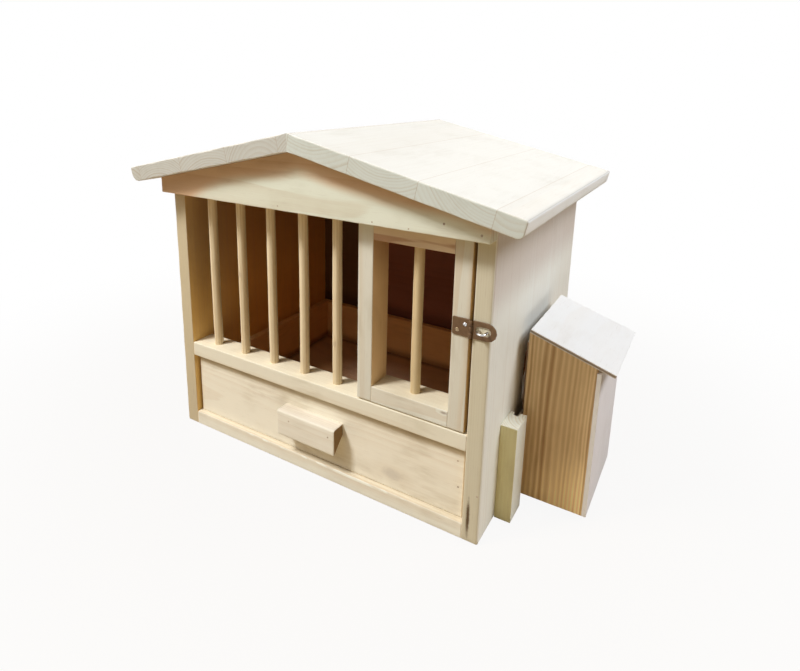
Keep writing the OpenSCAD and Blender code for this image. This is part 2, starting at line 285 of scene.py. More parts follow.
fill(staves, gives["Shade"], luck["Value"])
rim = times(staves, minus(staves, 0.5, calc(staves, "ABSOLUTE", inside)), given["Width"])
fill(staves, gives["Seam"], ramp(staves, rim, 0.45, 0.05))
print("staves:", len(staves.nodes), "nodes")

# %% [markdown]
# A knot is a branch that the board cuts across. The years of the log flow round it and its heart is
# darker. It could be painted on as a spot, but then the years would run through it. Here the distance
# from its place both darkens the wood and pulls the years aside. It is stretched along the grain, so the
# same effect also gives a long thin check, a small dent, or with a pale tone a painted pool of light. Far
# from its place it fades to nothing.

# %% Knots
knot, given, gives = effect("knot", dict(Vector=None, Place=None, Stretch=(1.0, 0.12, 0.55), Size=0.0),
                            dict(Pull="Float", Heart="Float", Halo="Float"))
off = vec(knot, "MULTIPLY", vec(knot, "SUBTRACT", given["Vector"], given["Place"]), given["Stretch"])
away = calc(knot, "DIVIDE", vec(knot, "LENGTH", off), calc(knot, "MAXIMUM", given["Size"], 0.01))
wavy, _ = noise(knot, given["Vector"], 0.35)
away = plus(knot, away, times(knot, minus(knot, wavy, 0.5), 0.5))
fill(knot, gives["Pull"], times(knot, ramp(knot, away, 4.0, 0.2), times(knot, given["Size"], 0.6)))
fill(knot, gives["Heart"], ramp(knot, away, 1.25, 0.35))
fill(knot, gives["Halo"], ramp(knot, away, 2.6, 0.7))
print("knot:", len(knot.nodes), "nodes")

# %% [markdown]
# Plywood shows its make on its edges only: thin sheets with the grain turned from one to the next, and a
# hair of glue between them. The sheets could be modelled one by one, but they are thinner than a pencil
# line. So the depth below the face tells which sheet a point of the edge lies in.

# %% Plywood edges
layers, given, gives = effect("ply_layers", dict(Vector=None, Thickness=4.0), dict(Layer="Float"))
depth = calc(layers, "ABSOLUTE", put(layers, "SeparateXYZ", given["Vector"]).outputs[1])
half = times(layers, given["Thickness"], 0.5)
cut_edge = ramp(layers, minus(layers, half, depth), 0.25, 0.55)
core = ramp(layers, calc(layers, "DIVIDE", depth, half), 0.42, 0.34, 0.45, 1.0)
fill(layers, gives["Layer"], times(layers, cut_edge, core))
print("ply layers:", len(layers.nodes), "nodes")

# %% [markdown]
# In the cage the boards are darker: painted shade of the room, deeper towards the rear. Each face in the
# room could have a material of its own, but a board shows its faces in and out of the room at once. The
# painted shade is therefore a mask over the room: how far a point lies in it, from the front rail to the
# rear wall and under the roof. The faces that bound the room are read from the frame.

# %% Painted shade of the room
WALL_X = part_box("wall_right")[0][0]
REAR_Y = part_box("rear_wall")[0][1]
FRONT_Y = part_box("middle_rail")[0][1]
BASE_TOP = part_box("base_board")[1][2]
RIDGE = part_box("rear_wall")[1][2]
SLOPE = (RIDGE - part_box("wall_right")[1][2]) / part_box("rear_wall")[1][0]
PITCH = math.atan(SLOPE)
HALF_MM = 0.0005
room, given, gives = effect("painted_shade_masks", dict(Vector=None),
                            dict(Inside="Float", Soil="Float", Shelter="Float"))
xyz = put(room, "SeparateXYZ", given["Vector"]).outputs
from_middle = calc(room, "ABSOLUTE", xyz[0])
side = ramp(room, from_middle, WALL_X + 0.0007, WALL_X + 0.0001)
deep = band(room, xyz[1], FRONT_Y + HALF_MM, -0.030, REAR_Y + 0.0001, REAR_Y + 0.0007)
under = minus(room, RIDGE + HALF_MM, times(room, from_middle, SLOPE))
low = ramp(room, minus(room, xyz[2], under), 0.0006, 0.0)
above_base = ramp(room, xyz[2], BASE_TOP, BASE_TOP + 0.0004)
inside = times(room, side, deep, low, above_base)
fill(room, gives["Inside"], inside)
print("inside tone: slope", round(math.degrees(PITCH), 2), "degrees,", len(room.nodes), "nodes")

# %% [markdown]
# The drawer's corners, the rear wall just above the drawer and the gap beside the door get painted shade:
# a brown film in the colour where the parts meet. The distance from the corner lines and two thin bands
# give it as a second mask.

# %% Painted shade in corners and the door's gap
FLOOR_X, FLOOR_Y, FLOOR_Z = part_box("drawer_floor")[1]
(_, _, DOOR_LOW), (DOOR_X, DOOR_BACK, DOOR_TOP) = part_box("door_stile_right")
up = minus(room, xyz[2], FLOOR_Z)
rear_line = put(room, "CombineXYZ", minus(room, xyz[1], FLOOR_Y), up, 0.0).outputs[0]
side_line = put(room, "CombineXYZ", minus(room, from_middle, FLOOR_X), up, 0.0).outputs[0]
corner = calc(room, "MAXIMUM", ramp(room, vec(room, "LENGTH", rear_line), 0.013, 0.001),
              ramp(room, vec(room, "LENGTH", side_line), 0.011, 0.001))
on_wall = ramp(room, xyz[1], REAR_Y - 0.0010, REAR_Y - 0.0001)
wall_line = times(room, on_wall, ramp(room, xyz[2], 0.112, 0.094))
indoors = calc(room, "MINIMUM", times(room, inside, 4.0), 1.0)
crevice_shade = times(room, calc(room, "MAXIMUM", corner, wall_line), indoors)
# The gap beside the door: painted shade on the side of the door's stile.
gap = times(room,
            band(room, xyz[0], DOOR_X - 0.0004, DOOR_X - 0.0001, WALL_X, WALL_X + 0.0003),
            band(room, xyz[1], FRONT_Y + 0.0012, FRONT_Y + 0.0040, DOOR_BACK + 0.003, DOOR_BACK + 0.009),
            band(room, xyz[2], DOOR_LOW - HALF_MM, DOOR_LOW + 0.0015, DOOR_TOP - 0.001, DOOR_TOP + HALF_MM))
fill(room, gives["Soil"], calc(room, "MAXIMUM", crevice_shade, times(room, gap, 0.35)))
print("soil: drawer corners at x", round(FLOOR_X, 4), "y", round(FLOOR_Y, 4), "m")

# %% [markdown]
# Outside, the wood under the eaves gets painted shade, a warm amber that stands in for the roof's shadow.
# Its edge could be drawn as a shape, but the line simply follows the roof: a third mask measures the drop
# below the slope and wavers a little. It reaches lower at the left than at the right.

# %% Painted shade under the eaves
patchy, _ = noise(room, given["Vector"], (9.0, 9.0, 30.0))
drop = plus(room, minus(room, under, xyz[2]), times(room, minus(room, patchy, 0.5), 0.018))
drop = minus(room, drop, ramp(room, xyz[0], -0.10, -0.22, 0.0, 0.030))
drop = plus(room, drop, ramp(room, xyz[0], 0.04, 0.20, 0.0, 0.013))
front = ramp(room, xyz[1], FRONT_Y + HALF_MM, FRONT_Y - HALF_MM)
fill(room, gives["Shelter"], times(room, front, ramp(room, drop, 0.031, 0.012)))
print("inside tone with soil and shelter:", len(room.nodes), "nodes")

# %% [markdown]
# Light doesn't fall the same on all sides of a board, so some sides are painted lighter or darker: painted
# light and painted shade. Each side could have its own material slot, with a hard change at the edge. This
# effect tints the faces that look one way, softly over the edge, and the tint can come in along a line over
# the board.

# %% Painted light and shade on faces
painted_face_light, given, gives = effect(
    "painted_face_light",
    dict(Colour=(1, 1, 1, 1), Vector=None, Normal=None, Way=(0, 0, 1), Start=(0, 0, -9), Run=(0, 0, 1),
         Tint=(1, 1, 1, 1)),
    dict(Colour="Color"))
facing = ramp(painted_face_light, vec(painted_face_light, "DOT_PRODUCT", given["Normal"], given["Way"]), 0.70, 0.95)
along = vec(painted_face_light, "SUBTRACT", given["Vector"], given["Start"])
come_in = ramp(painted_face_light, vec(painted_face_light, "DOT_PRODUCT", along, given["Run"]), 0.0, 1.0)
share = times(painted_face_light, facing, come_in)
fill(painted_face_light, gives["Colour"], blend(painted_face_light, share, given["Colour"], given["Tint"], "MULTIPLY"))
print("tinted faces:", len(painted_face_light.nodes), "nodes")

# %% [markdown]
# The last effect turns these masks into the look of bare wood: pale early wood, amber late wood, another
# tone on end grain, a grey breath of handling, edges that sanding has left a little lighter, and the
# painted shade of the masks above. All of it could stand in each material, but the cage is one kind of
# wood, so it is one effect. First it mixes the colour.

# %% Bare wood
DUCT_TONE, GLUE_TONE = (0.30, 0.17, 0.08, 1), (0.36, 0.22, 0.11, 1)
HANDLED_TONE, SANDED_TONE = (0.62, 0.56, 0.46, 1), (0.95, 0.89, 0.76, 1)
EAVE_SHADE_TONE, CREVICE_SHADE_TONE = (0.89, 0.61, 0.46, 1), (0.30, 0.19, 0.12, 1)
bare, given, gives = effect(
    "bare_wood",
    dict(Pale=(0.8, 0.7, 0.5, 1), Amber=(0.5, 0.33, 0.16, 1), Late=0.0, Slow=0.5, Fibre=0.5, Duct=0.0,
         Shade=0.5, Seam=0.0, End=0.0, Heart=0.0, Halo=0.0, Edge=0.0, Grime=0.3, Rings=0.6, Mark=0.3,
         Inside=0.0, Soil=0.0, Shelter=0.0, Inner=(0.8, 0.55, 0.34, 1), Layer=0.0,
         Ply=(0.34, 0.22, 0.13, 1), Cut_end=(0.92, 0.89, 0.85, 1), Glue=0.45,
         Mark_tone=(0.33, 0.26, 0.21, 1), Vector=None),
    dict(Colour="Color", Roughness="Float", Height="Float"))
share = times(bare, given["Late"], plus(bare, given["Rings"], times(bare, given["End"], 0.45)))
for mask, weight in (("Fibre", 0.34), ("Slow", 0.35), ("Shade", 0.16)):
    share = plus(bare, share, times(bare, minus(bare, given[mask], 0.5), weight))
share = calc(bare, "MAXIMUM", plus(bare, share, times(bare, given["Halo"], 0.10)), 0.0)
colour = blend(bare, share, given["Pale"], given["Amber"])
colour = blend(bare, given["End"], colour, given["Cut end"], "MULTIPLY")
colour = blend(bare, times(bare, given["Duct"], 0.22), colour, DUCT_TONE)
colour = blend(bare, times(bare, given["Heart"], given["Mark"]), colour, given["Mark tone"])
colour = blend(bare, times(bare, given["Layer"], 0.8), colour, given["Ply"])
colour = blend(bare, times(bare, given["Seam"], given["Glue"]), colour, GLUE_TONE)
cloud, _ = noise(bare, given["Vector"], 0.016, 3.0)
smear, _ = noise(bare, given["Vector"], (0.16, 0.16, 0.03), 3.0)
dull = times(bare, ramp(bare, cloud, 0.42, 0.72), ramp(bare, smear, 0.3, 0.7), given["Grime"])
colour = blend(bare, dull, colour, HANDLED_TONE, "MULTIPLY")
colour = blend(bare, times(bare, given["Edge"], 0.18), colour, SANDED_TONE)
# The last three mixes are painted shade: under the eaves, in the room, and in its corners and the door's gap.
colour = blend(bare, given["Shelter"], colour, EAVE_SHADE_TONE, "MULTIPLY")
colour = blend(bare, given["Inside"], colour, given["Inner"], "MULTIPLY")
colour = blend(bare, times(bare, given["Soil"], 0.68), colour, CREVICE_SHADE_TONE, "MULTIPLY")
fill(bare, gives["Colour"], colour)
print("bare wood: colour,", len(bare.nodes), "nodes")

# %% [markdown]
# Late wood is denser than early wood: it takes more polish and stands up under the plane, while ducts,
# marks and glue lines lie lower. Relief this fine could be geometry, but it is thinner than paper, so the
# same masks give a roughness and a height for the bump.

# %% Bare wood, roughness and height
rough = plus(bare, 0.56, times(bare, given["Fibre"], 0.22))
fill(bare, gives["Roughness"], minus(bare, rough, times(bare, given["Late"], 0.10)))
height = plus(bare, times(bare, given["Late"], 0.5), times(bare, given["Fibre"], 0.8))
height = minus(bare, height, times(bare, given["Duct"], 0.6))
height = minus(bare, height, times(bare, given["Heart"], given["Mark"], 1.5))
fill(bare, gives["Height"], minus(bare, height, times(bare, given["Seam"], 0.8)))
print("bare wood:", len(bare.nodes), "nodes")

# %% [markdown]
# A finish needs a material, small relief from a height, and painted light and shade on some faces. Wood
# and metal share these three steps, so each is a helper. A tint's line is given in millimetres, from where
# it starts to where it is full.

# %% Steps of a finish
FRONT, RIGHT, LEFT, UP = (0, -1, 0), (1, 0, 0), (-1, 0, 0), (0, 0, 1)


def new_finish(name):
    """A new material, its tree and its shader."""
    mat = bpy.data.materials.new(name)
    mat.use_nodes = True
    return mat, mat.node_tree, mat.node_tree.nodes["Principled BSDF"]


def bumped(tree, shader, height, strength, distance):
    """Small relief: a height goes through a Bump node to the shader's normal."""
    bump = put(tree, "Bump")
    bump.inputs["Strength"].default_value = strength
    bump.inputs["Distance"].default_value = distance
    tree.links.new(height, bump.inputs["Height"])
    tree.links.new(bump.outputs[0], shader.inputs["Normal"])


def paint_face_light(tree, where, colour, faces):
    """The colour with painted light and shade: each is a direction and a tint, and maybe the two ends of its
    line (mm).
    """
    for way, tint, *ends in faces:
        line = {}
        if ends:
            start, stop = (Vector(point) * MM for point in ends)
            line = dict(Start=start, Run=(stop - start) / (stop - start).length_squared)
        colour = use(tree, painted_face_light, Colour=colour, Vector=where["Object"], Normal=where["Normal"],
                     Way=way, Tint=(*tint, 1), **line)["Colour"]
    return colour


print("steps of a finish:", [f.__name__ for f in (new_finish, bumped, paint_face_light)])

# %% [markdown]
# A finish puts the board into the log: a Mapping node turns the piece so that its grain runs along Z and
# its face looks along Y, in millimetres from the middle of the board. The pith then lies so many
# millimetres beside and behind that middle, which decides if a face shows flames or straight stripes. A
# UV map could carry the grain too, but it would break at every edge.

# %% Pine finishes
GRAIN = {"x": (0, -90, 0), "z": (0, 0, 0), "z_wall": (0, 0, 90), "y": (90, 0, 0), "x_flat": (90, -90, 0)}
ONE_PIECE = 2000.0
FAR_OFF = Vector((0, 9000, 0))


def pine(name, middle, grain, pith, year=3.0, sway=8.0, pale=(0.86, 0.82, 0.67), amber=(0.64, 0.50, 0.32),
         rings_share=0.5, stave=ONE_PIECE, seed=0.0, grime=0.35, tilt=(0, 0, 0), knot_at=None, knot_size=0.0,
         stretch=(1.0, 0.12, 0.55), mark=0.3, room_shade_tone=(0.80, 0.55, 0.34), cut_end=(0.92, 0.89, 0.85), ply=0.0,
         ply_tone=(0.34, 0.22, 0.13), waver=1.3, soft=0.0, glue=0.45, eave_shaded=False,
         mark_tone=(0.33, 0.26, 0.21), faces=()):
    """A bare pine finish for the board round `middle` (mm): find its place in the log, then colour the cut.

    `grain` is a name in GRAIN or three angles, and `tilt` is added to it. `stave` is the width of the glued
    strips and `ply` the thickness of plywood. `faces` are painted light and shade for the faces that look one
    way.
    """
    mat, tree, shader = new_finish(name)
    angles = GRAIN[grain] if isinstance(grain, str) else grain
    way = Euler([math.radians(a + b) for a, b in zip(angles, tilt)])
    to_log = way.to_matrix()
    where = put(tree, "TexCoord").outputs
    to_middle = -(to_log @ Vector(middle))
    place = put(tree, "Mapping", where["Object"], to_middle, tuple(way), (1 / MM,) * 3).outputs[0]
    glued = use(tree, staves, Vector=place, Width=stave, Seed=seed)
    in_log = glued["Vector"] if stave < ONE_PIECE else place
    knot_place = to_log @ (Vector(knot_at) - Vector(middle)) if knot_at else FAR_OFF
    branch = use(tree, knot, Vector=place, Size=knot_size, Stretch=stretch, Place=knot_place)
    log = use(tree, rings, Vector=in_log, Pith=(*pith, 0.0), Year=year, Sway=sway, Waver=waver, Soft=soft,
              Pull=branch["Pull"], Seed=seed)
    fine = use(tree, fibres, Vector=in_log, Seed=seed)
    lengthwise = tuple(to_log.inverted() @ Vector((0, 0, 1)))
    end = calc(tree, "ABSOLUTE", vec(tree, "DOT_PRODUCT", where["Normal"], lengthwise))
    tone = use(tree, room, Vector=where["Object"])
    look = use(tree, bare, Pale=(*pale, 1), Amber=(*amber, 1), Inner=(*room_shade_tone, 1), Cut_end=(*cut_end, 1),
               Mark_tone=(*mark_tone, 1), Ply=(*ply_tone, 1) if ply else None, Rings=rings_share, Grime=grime,
               Mark=mark, Glue=glue, Vector=place, Late=log["Late"], Slow=log["Slow"], Fibre=fine["Fibre"],
               Duct=fine["Duct"], Shade=glued["Shade"], Seam=glued["Seam"], Heart=branch["Heart"],
               Halo=branch["Halo"], End=ramp(tree, end, 0.75, 0.97), Inside=tone["Inside"], Soil=tone["Soil"],
               Edge=put(tree, "Attribute", attribute_name="edge").outputs["Fac"],
               Shelter=tone["Shelter"] if eave_shaded else None,
               Layer=use(tree, layers, Vector=place, Thickness=ply)["Layer"] if ply else None)
    tree.links.new(paint_face_light(tree, where, look["Colour"], faces), shader.inputs["Base Color"])
    tree.links.new(look["Roughness"], shader.inputs["Roughness"])
    shader.inputs["Specular IOR Level"].default_value = 0.28
    bumped(tree, shader, look["Height"], 0.35, 0.0003)
    return mat


print("grain may run along:", ", ".join(GRAIN))

# %% [markdown]
# A planed board is a prism whose edges have been eased with sandpaper. A cube with a Bevel modifier would
# be even all along. Here the surface is a grid, so that the easing can breathe along the edge, as it does
# when it is done by hand. The first parameter runs round the outline, whose corners are arcs. Short rows
# beside each arc keep the flat faces flat when they are shaded.

# %% Rounded outlines
PLENTY = 1000.0
ARC_POINTS = 4


def rounded(corners, radius, step, margin):
    """An outline with round corners, as points, outward normals and the room that each point has to move in.

    Each arc touches both edges: its centre lies radius x tan(half the turn) before the corner and one radius
    inside the edge, and its points are that centre plus the edge normal as it turns to the next edge. The
    straight parts between the arcs are cut into equal steps, the first one a margin away from the arc. A
    point of an outer arc has room for its radius, and all other points have plenty.
    """
    corner = np.asarray(corners, float)
    radius = np.broadcast_to(np.asarray(radius, float), len(corner))
    ahead = np.roll(corner, -1, 0) - corner
    ahead /= np.linalg.norm(ahead, axis=1, keepdims=True)
    behind = np.roll(ahead, 1, 0)
    bend = np.arctan2(behind[:, 0] * ahead[:, 1] - behind[:, 1] * ahead[:, 0], (behind * ahead).sum(1))
    side = (np.sign(bend) * radius)[:, None]
    out = np.stack([behind[:, 1], -behind[:, 0]], 1)
    centre = corner - behind * (radius * np.tan(np.abs(bend) / 2))[:, None] - out * side
    angle = np.linspace(0, 1, ARC_POINTS) * bend[:, None]
    cos, sin = np.cos(angle), np.sin(angle)
    arc_out = np.stack([out[:, :1] * cos - out[:, 1:] * sin, out[:, :1] * sin + out[:, 1:] * cos], 2)
    arc = centre[:, None] + side[:, None] * arc_out
    reach = np.where(bend > 0, radius, PLENTY)
    points, normals, room_in = [], [], []
    for k in range(len(corner)):
        start, stop = arc[k, -1], arc[(k + 1) % len(corner), 0]
        length = np.linalg.norm(stop - start)
        short = min(margin, length * 0.2) / max(length, 1e-9)
        cut = np.linspace(short, 1 - short, max(2, int(length / step) + 1))[:, None]
        points += [arc[k], start + (stop - start) * cut]
        normals += [arc_out[k], np.repeat(arc_out[k, -1:], len(cut), 0)]
        room_in += [np.full(ARC_POINTS, 0.96 * reach[k]), np.full(len(cut), PLENTY)]
    return np.concatenate(points), np.concatenate(normals), np.concatenate(room_in)


def smooth_loop(loop):
    """Points on a curve, normals square to the line between their neighbours, and plenty of room."""
    points = np.asarray(loop, float)
    way = np.roll(points, -1, 0) - np.roll(points, 1, 0)
    way /= np.linalg.norm(way, axis=1, keepdims=True)
    return points, np.stack([way[:, 1], -way[:, 0]], 1), np.full(len(points), PLENTY)


def oblong(a, b):
    """A rectangle's corners, counter-clockwise, from two ranges."""
    return [(a[0], b[0]), (a[1], b[0]), (a[1], b[1]), (a[0], b[1])]


print("a rounded 32 x 18 mm outline has", len(rounded(oblong((0, 32), (0, 18)), 0.9, 9.0, 2.0)[0]), "points")

# %% [markdown]
# The faces of such a grid follow one rule: each quad joins two neighbours of a ring with the same two of
# the next ring. Only the two ends need triangles, between the outline and its holes. They could be one
# big polygon, but a face with a hole must be cut into triangles anyway.

# %% Faces of a board
def ring_quads(rows, cols):
    """Quads of a grid whose rows are closed rings, with its points counted row by row."""
    row, col = np.meshgrid(np.arange(rows - 1), np.arange(cols), indexing="ij")
    here, there = row * cols + col, row * cols + (col + 1) % cols
    return np.stack([here, there, there + cols, here + cols], 2).reshape(-1, 4)


def end_faces(points, loops):
    """Triangles that close both ends, turned to look outwards.

    Each loop gives where its first and its last ring start in the points, and how many points a ring has.
    """
    flat = points * (1, 1, 0)
    tris = []
    for end in (0, 1):
        spans = [slice(loop[end], loop[end] + loop[2]) for loop in loops]
        index = np.concatenate([np.arange(span.start, span.stop) for span in spans])
        tri = index[np.array(tessellate_polygon([flat[span].tolist() for span in spans]))]
        first, second = flat[tri[:, 1]] - flat[tri[:, 0]], flat[tri[:, 2]] - flat[tri[:, 0]]
        wrong = (first[:, 0] * second[:, 1] - first[:, 1] * second[:, 0] > 0) != bool(end)
        tri[wrong] = tri[wrong][:, ::-1]
        tris.append(tri)
    return np.concatenate(tris)


print("a grid of 3 rings of 4 points has", len(ring_quads(3, 4)), "quads")

# %% [markdown]
# The second parameter of the board's grid runs over the eased rim of one end, along the side and over the
# other rim. How far the rim leans in and climbs up is one quarter circle, scaled by the wear at each
# place.

# %% The board surface
quarter = np.linspace(0, np.pi / 2, 4)
RIM_IN = np.concatenate([[1.6], 1 - np.sin(quarter), [0.0]])
RIM_UP = np.concatenate([[0.0], 1 - np.cos(quarter), [2.2]])
RIM_WORN = np.array([0.0, 0.6, 1.0, 1.0, 0.6, 0.0])
REGROW = 6.0
AXIS_ORDER = {"x": [2, 0, 1], "y": [0, 2, 1], "z": [0, 1, 2]}


def breath(s, seed):
    """Slow waves about 0 along a length in mm: a sum of three sines whose phases come from the seed."""
    count = np.array([0.021, 0.057, 0.131])[:, None]
    share = np.array([0.5, 0.3, 0.2])[:, None]
    phase = np.random.default_rng(seed).uniform(0, 2 * np.pi, (3, 1))
    return (np.sin(count * np.ravel(s)[None] * 2 * np.pi + phase) * share).sum(0)


def board(corners, axis, low, high, radius=0.9, ease=0.9, step=9.0, holes=(), cuts=(), seed=1, sharp=None,
          uneven=0.45):
    """A board: the outline `corners` (counter-clockwise, mm) carried along `axis` from low to high.

    Row by row: a flat ring on the end face, a quarter circle of the ease over the rim (inset = ease x
    (1 - sin), height = ease x (1 - cos)), the side, and the same again at the other end. `ease` may be a
    pair, for the low and the high end, and breathes by the share `uneven`. Cuts are heights that get a row of
    their own, and holes run clockwise. `sharp` is a point and a direction: the edge of a joint there stays
    square, and the easing grows back over a few millimetres.
    Gives points, quads, triangles of the end faces, and how far each point lies on an eased edge.
    """
    ease_low, ease_high = np.broadcast_to(ease, 2)
    margin = max(1.2, 1.6 * np.max(ease) * (1 + uneven))
    points, quads, edge, loops, base = [], [], [], [], 0
    for k, loop in enumerate([corners, *holes]):
        place, out, room_in = smooth_loop(loop) if k else rounded(loop, radius, step, margin)
        along = np.concatenate([[0], np.cumsum(np.linalg.norm(np.diff(place, axis=0), axis=1))])
        wear = 1 + uneven * breath(along, seed + k)
        if sharp is not None:
            wear = wear * np.clip((place - sharp[0]) @ np.asarray(sharp[1]) / REGROW, 0.03, 1)
        cut = np.asarray(cuts, float)[:, None] + 0 * wear
        lean, climb = RIM_IN[:, None] * wear, RIM_UP[:, None] * wear
        inset = np.concatenate([lean * ease_low, 0 * cut, (lean * ease_high)[::-1]])
        inset = np.minimum(inset, room_in)
        height = np.concatenate([low + climb * ease_low, cut, high - climb[::-1] * ease_high])
        flat = place[None] - out[None] * inset[:, :, None]
        rows, cols = height.shape
        points.append(np.concatenate([flat, height[:, :, None]], 2).reshape(-1, 3))
        quads.append(base + ring_quads(rows, cols))
        worn = np.concatenate([RIM_WORN, np.zeros(len(cuts)), RIM_WORN[::-1]])
        edge.append((worn[:, None] * np.minimum(wear, 1)).ravel())
        loops.append((base, base + (rows - 1) * cols, cols))
        base += rows * cols
    points, quads, edge = np.concatenate(points), np.concatenate(quads), np.concatenate(edge)
    tris = end_faces(points, loops)
    if axis == "y":
        quads, tris = quads[:, ::-1], tris[:, ::-1]
    return points[:, AXIS_ORDER[axis]], quads, tris, edge


sample = board(oblong((0, 32), (0, 18)), "z", 0.0, 200.0)
print("a rail of 32 x 18 x 200 mm has", len(sample[0]), "points,", len(sample[1]), "quads and",
      len(sample[2]), "triangles")

# %% [markdown]
# A surface becomes a piece of the cage when it has a mesh, a finish, a body that it rides on and the CAD
# node that it stands for. Most boards fill their node's box, so their outline is read from the frame and
# can't drift away from it.

# %% Laying a piece
def lay(name, made, finish, body, node=None):
    """A piece from points in mm: mesh, finish, body, material slot, and the CAD node it stands for."""
    points, quads, tris, edge = made
    mesh = bpy.data.meshes.new(name)
    mesh.from_pydata((points * MM).tolist(), [], quads.tolist() + tris.tolist())
    mesh.polygons.foreach_set("use_smooth", np.ones(len(mesh.polygons), bool))
    mesh.attributes.new("edge", "FLOAT", "POINT").data.foreach_set("value", np.asarray(edge, np.float32))
    mesh.materials.append(finish)
    mesh.update()
    piece = bpy.data.objects.new(name, mesh)
    scene.collection.objects.link(piece)
    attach(piece, body)
    if node:
        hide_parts(node)
    return piece


def box_mm(node):
    """A CAD node's corners in mm, and its middle."""
    lo, hi = (np.array(v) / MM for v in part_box(node))
    return lo, hi, (lo + hi) / 2


def plank(node, axis, **easing):
    """A plain board that fills a CAD node's box: the rectangle across the axis, carried along it."""
    lo, hi, _ = box_mm(node)
    length, (a, b) = {"x": (0, (1, 2)), "y": (1, (0, 2)), "z": (2, (0, 1))}[axis]
    return board(oblong((lo[a], hi[a]), (lo[b], hi[b])), axis, lo[length], hi[length], **easing)


lo, hi, _ = box_mm("base_board")
print("the base board's box is", np.round(hi - lo, 1).tolist(), "mm")

# %% [markdown]
# The left wall is a panel of upright glued staves. Its top follows the pitch of the roof, which could be
# cut off a taller board. It is simpler to give the outline of its front end four corners, one of them
# lower, and to carry it to the rear.

# %% Left wall
lo, hi, mid = box_mm("wall_left")
outline = [(lo[0], lo[2]), (hi[0], lo[2]), (hi[0], hi[2]), (lo[0], hi[2] - (hi[0] - lo[0]) * SLOPE)]
# Painted light and shade: the front edge is tinted cooler, the face in the room warmer as if lit by bounced
# light, and darker towards its top as painted shade under the roof.
wood = pine("wall_left_pine", mid, "z_wall", (12, 30), 3.2, 9, stave=62, seed=3, grime=0.18,
            pale=(0.70, 0.57, 0.325), room_shade_tone=(0.98, 0.71, 0.48), glue=0.25,
            faces=[(FRONT, (0.91, 0.96, 1.11)), (RIGHT, (1.28, 1.08, 0.70)),
                   (RIGHT, (0.64, 0.64, 0.80), (0, 0, 140), (0, 0, 265))])
lay("left_wall", board(outline, "y", lo[1], hi[1], seed=2), wood, "cage", "wall_left")
print("left wall:", np.round(hi - lo, 1).tolist(), "mm")

# %% [markdown]
# The right wall has the opening to the feeder, so here the outline is the wall's broad side with a
# rounded hole in it, carried through the board's thickness. A Boolean could cut the hole, but it leaves
# ragged faces. The slanted top is made by shearing the upper points. A dark check shows in the front edge
# near its foot.

# %% Right wall
BOARD = 18.0
HATCH_Y, HATCH_Z, HATCH_MIDDLE, HATCH_ROUND = 27.0, 22.0, 132.0, 8.0
TOP_ZONE = 300.0
lo, hi, mid = box_mm("wall_right")
angle = np.linspace(0, 2 * np.pi, 48, endpoint=False)
cos, sin = np.cos(angle), np.sin(angle)
hatch = np.stack([-(np.sign(cos) * HATCH_Y + HATCH_ROUND * cos),
                  HATCH_MIDDLE + np.sign(sin) * HATCH_Z + HATCH_ROUND * sin], 1)
wall = board(oblong((lo[1], hi[1]), (lo[2], hi[2] - BOARD * SLOPE)), "x", lo[0], hi[0], ease=(0.9, 2.4),
             uneven=0.16, holes=[hatch], seed=5)
wall[0][:, 2] += np.where(wall[0][:, 2] > TOP_ZONE, (hi[0] - wall[0][:, 0]) * SLOPE, 0)
# Painted shade: darker on the front edge, warmer on the face in the room, darker on the outer face just under
# the eave, and dark on the opening's rear edge.
wood = pine("wall_right_pine", mid, "z_wall", (-8, 34), 3.4, 9, pale=(0.94, 0.94, 0.86),
            amber=(0.75, 0.65, 0.53), rings_share=0.22, stave=58, seed=7, grime=0.15, glue=0.16,
            knot_at=(198.1, -153, 27.5), knot_size=2.1, stretch=(0.12, 1.0, 0.09), mark=1.0,
            mark_tone=(0.17, 0.11, 0.06),
            faces=[(FRONT, (0.72, 0.675, 0.56)), (LEFT, (0.92, 0.72, 0.45)),
                   (RIGHT, (0.77, 0.70, 0.685), (0, 0, 230), (0, 0, 275)),
                   (FRONT, (0.26, 0.18, 0.13), (0, 12, 0), (0, 26, 0))])
lay("right_wall", wall, wood, "cage", "wall_right")
print("right wall: opening", np.round(np.ptp(hatch, axis=0), 1).tolist(), "mm")

# %% [markdown]
# The base board's front edge is the sill that the drawer runs over, and it is rounded off by use. A wider
# bevel would be even. So points near that edge are pushed back and down by an amount that comes and goes
# along it.

# %% Base board
WORN, WORN_REACH = 0.55, 3.2
lo, hi, mid = box_mm("base_board")
# Its top is tinted darker and warmer: painted shade on the face that the light hits most.
wood = pine("base_pine", mid, "x_flat", (15, 26), 3.0, 7, pale=(0.93, 0.92, 0.80), seed=11,
            faces=[(UP, (0.86, 0.78, 0.69))])
base = plank("base_board", "x", cuts=np.arange(lo[0] + 6, hi[0] - 5, 7.0), seed=7)
from_edge = np.hypot(base[0][:, 1] - lo[1], base[0][:, 2] - hi[2])
wear = WORN * (1 + breath(base[0][:, 0] * 1.7, 12)) * np.clip(1 - from_edge / WORN_REACH, 0, 1)
base[0][:, 1:] += wear[:, None] * (1, -1)
lay("base", base, wood, "cage", "base_board")
print("base: front edge worn by up to", round(float(wear.max()), 2), "mm")

# %% [markdown]
# The rear wall and the gable board both end in the roof's two slopes. They could be cut from rectangles,
# but a five-cornered outline gives the same board at once. The rear wall carries the room's painted shade,
# darker still towards its left end, and is glued from lying staves.

# %% Rear wall
def gabled(lo, hi):
    """A five-cornered outline: a rectangle whose top follows both slopes up to the ridge."""
    eave = hi[2] - hi[0] * SLOPE
    return [(lo[0], lo[2]), (hi[0], lo[2]), (hi[0], eave), (0, hi[2]), (lo[0], eave)]


lo, hi, mid = box_mm("rear_wall")
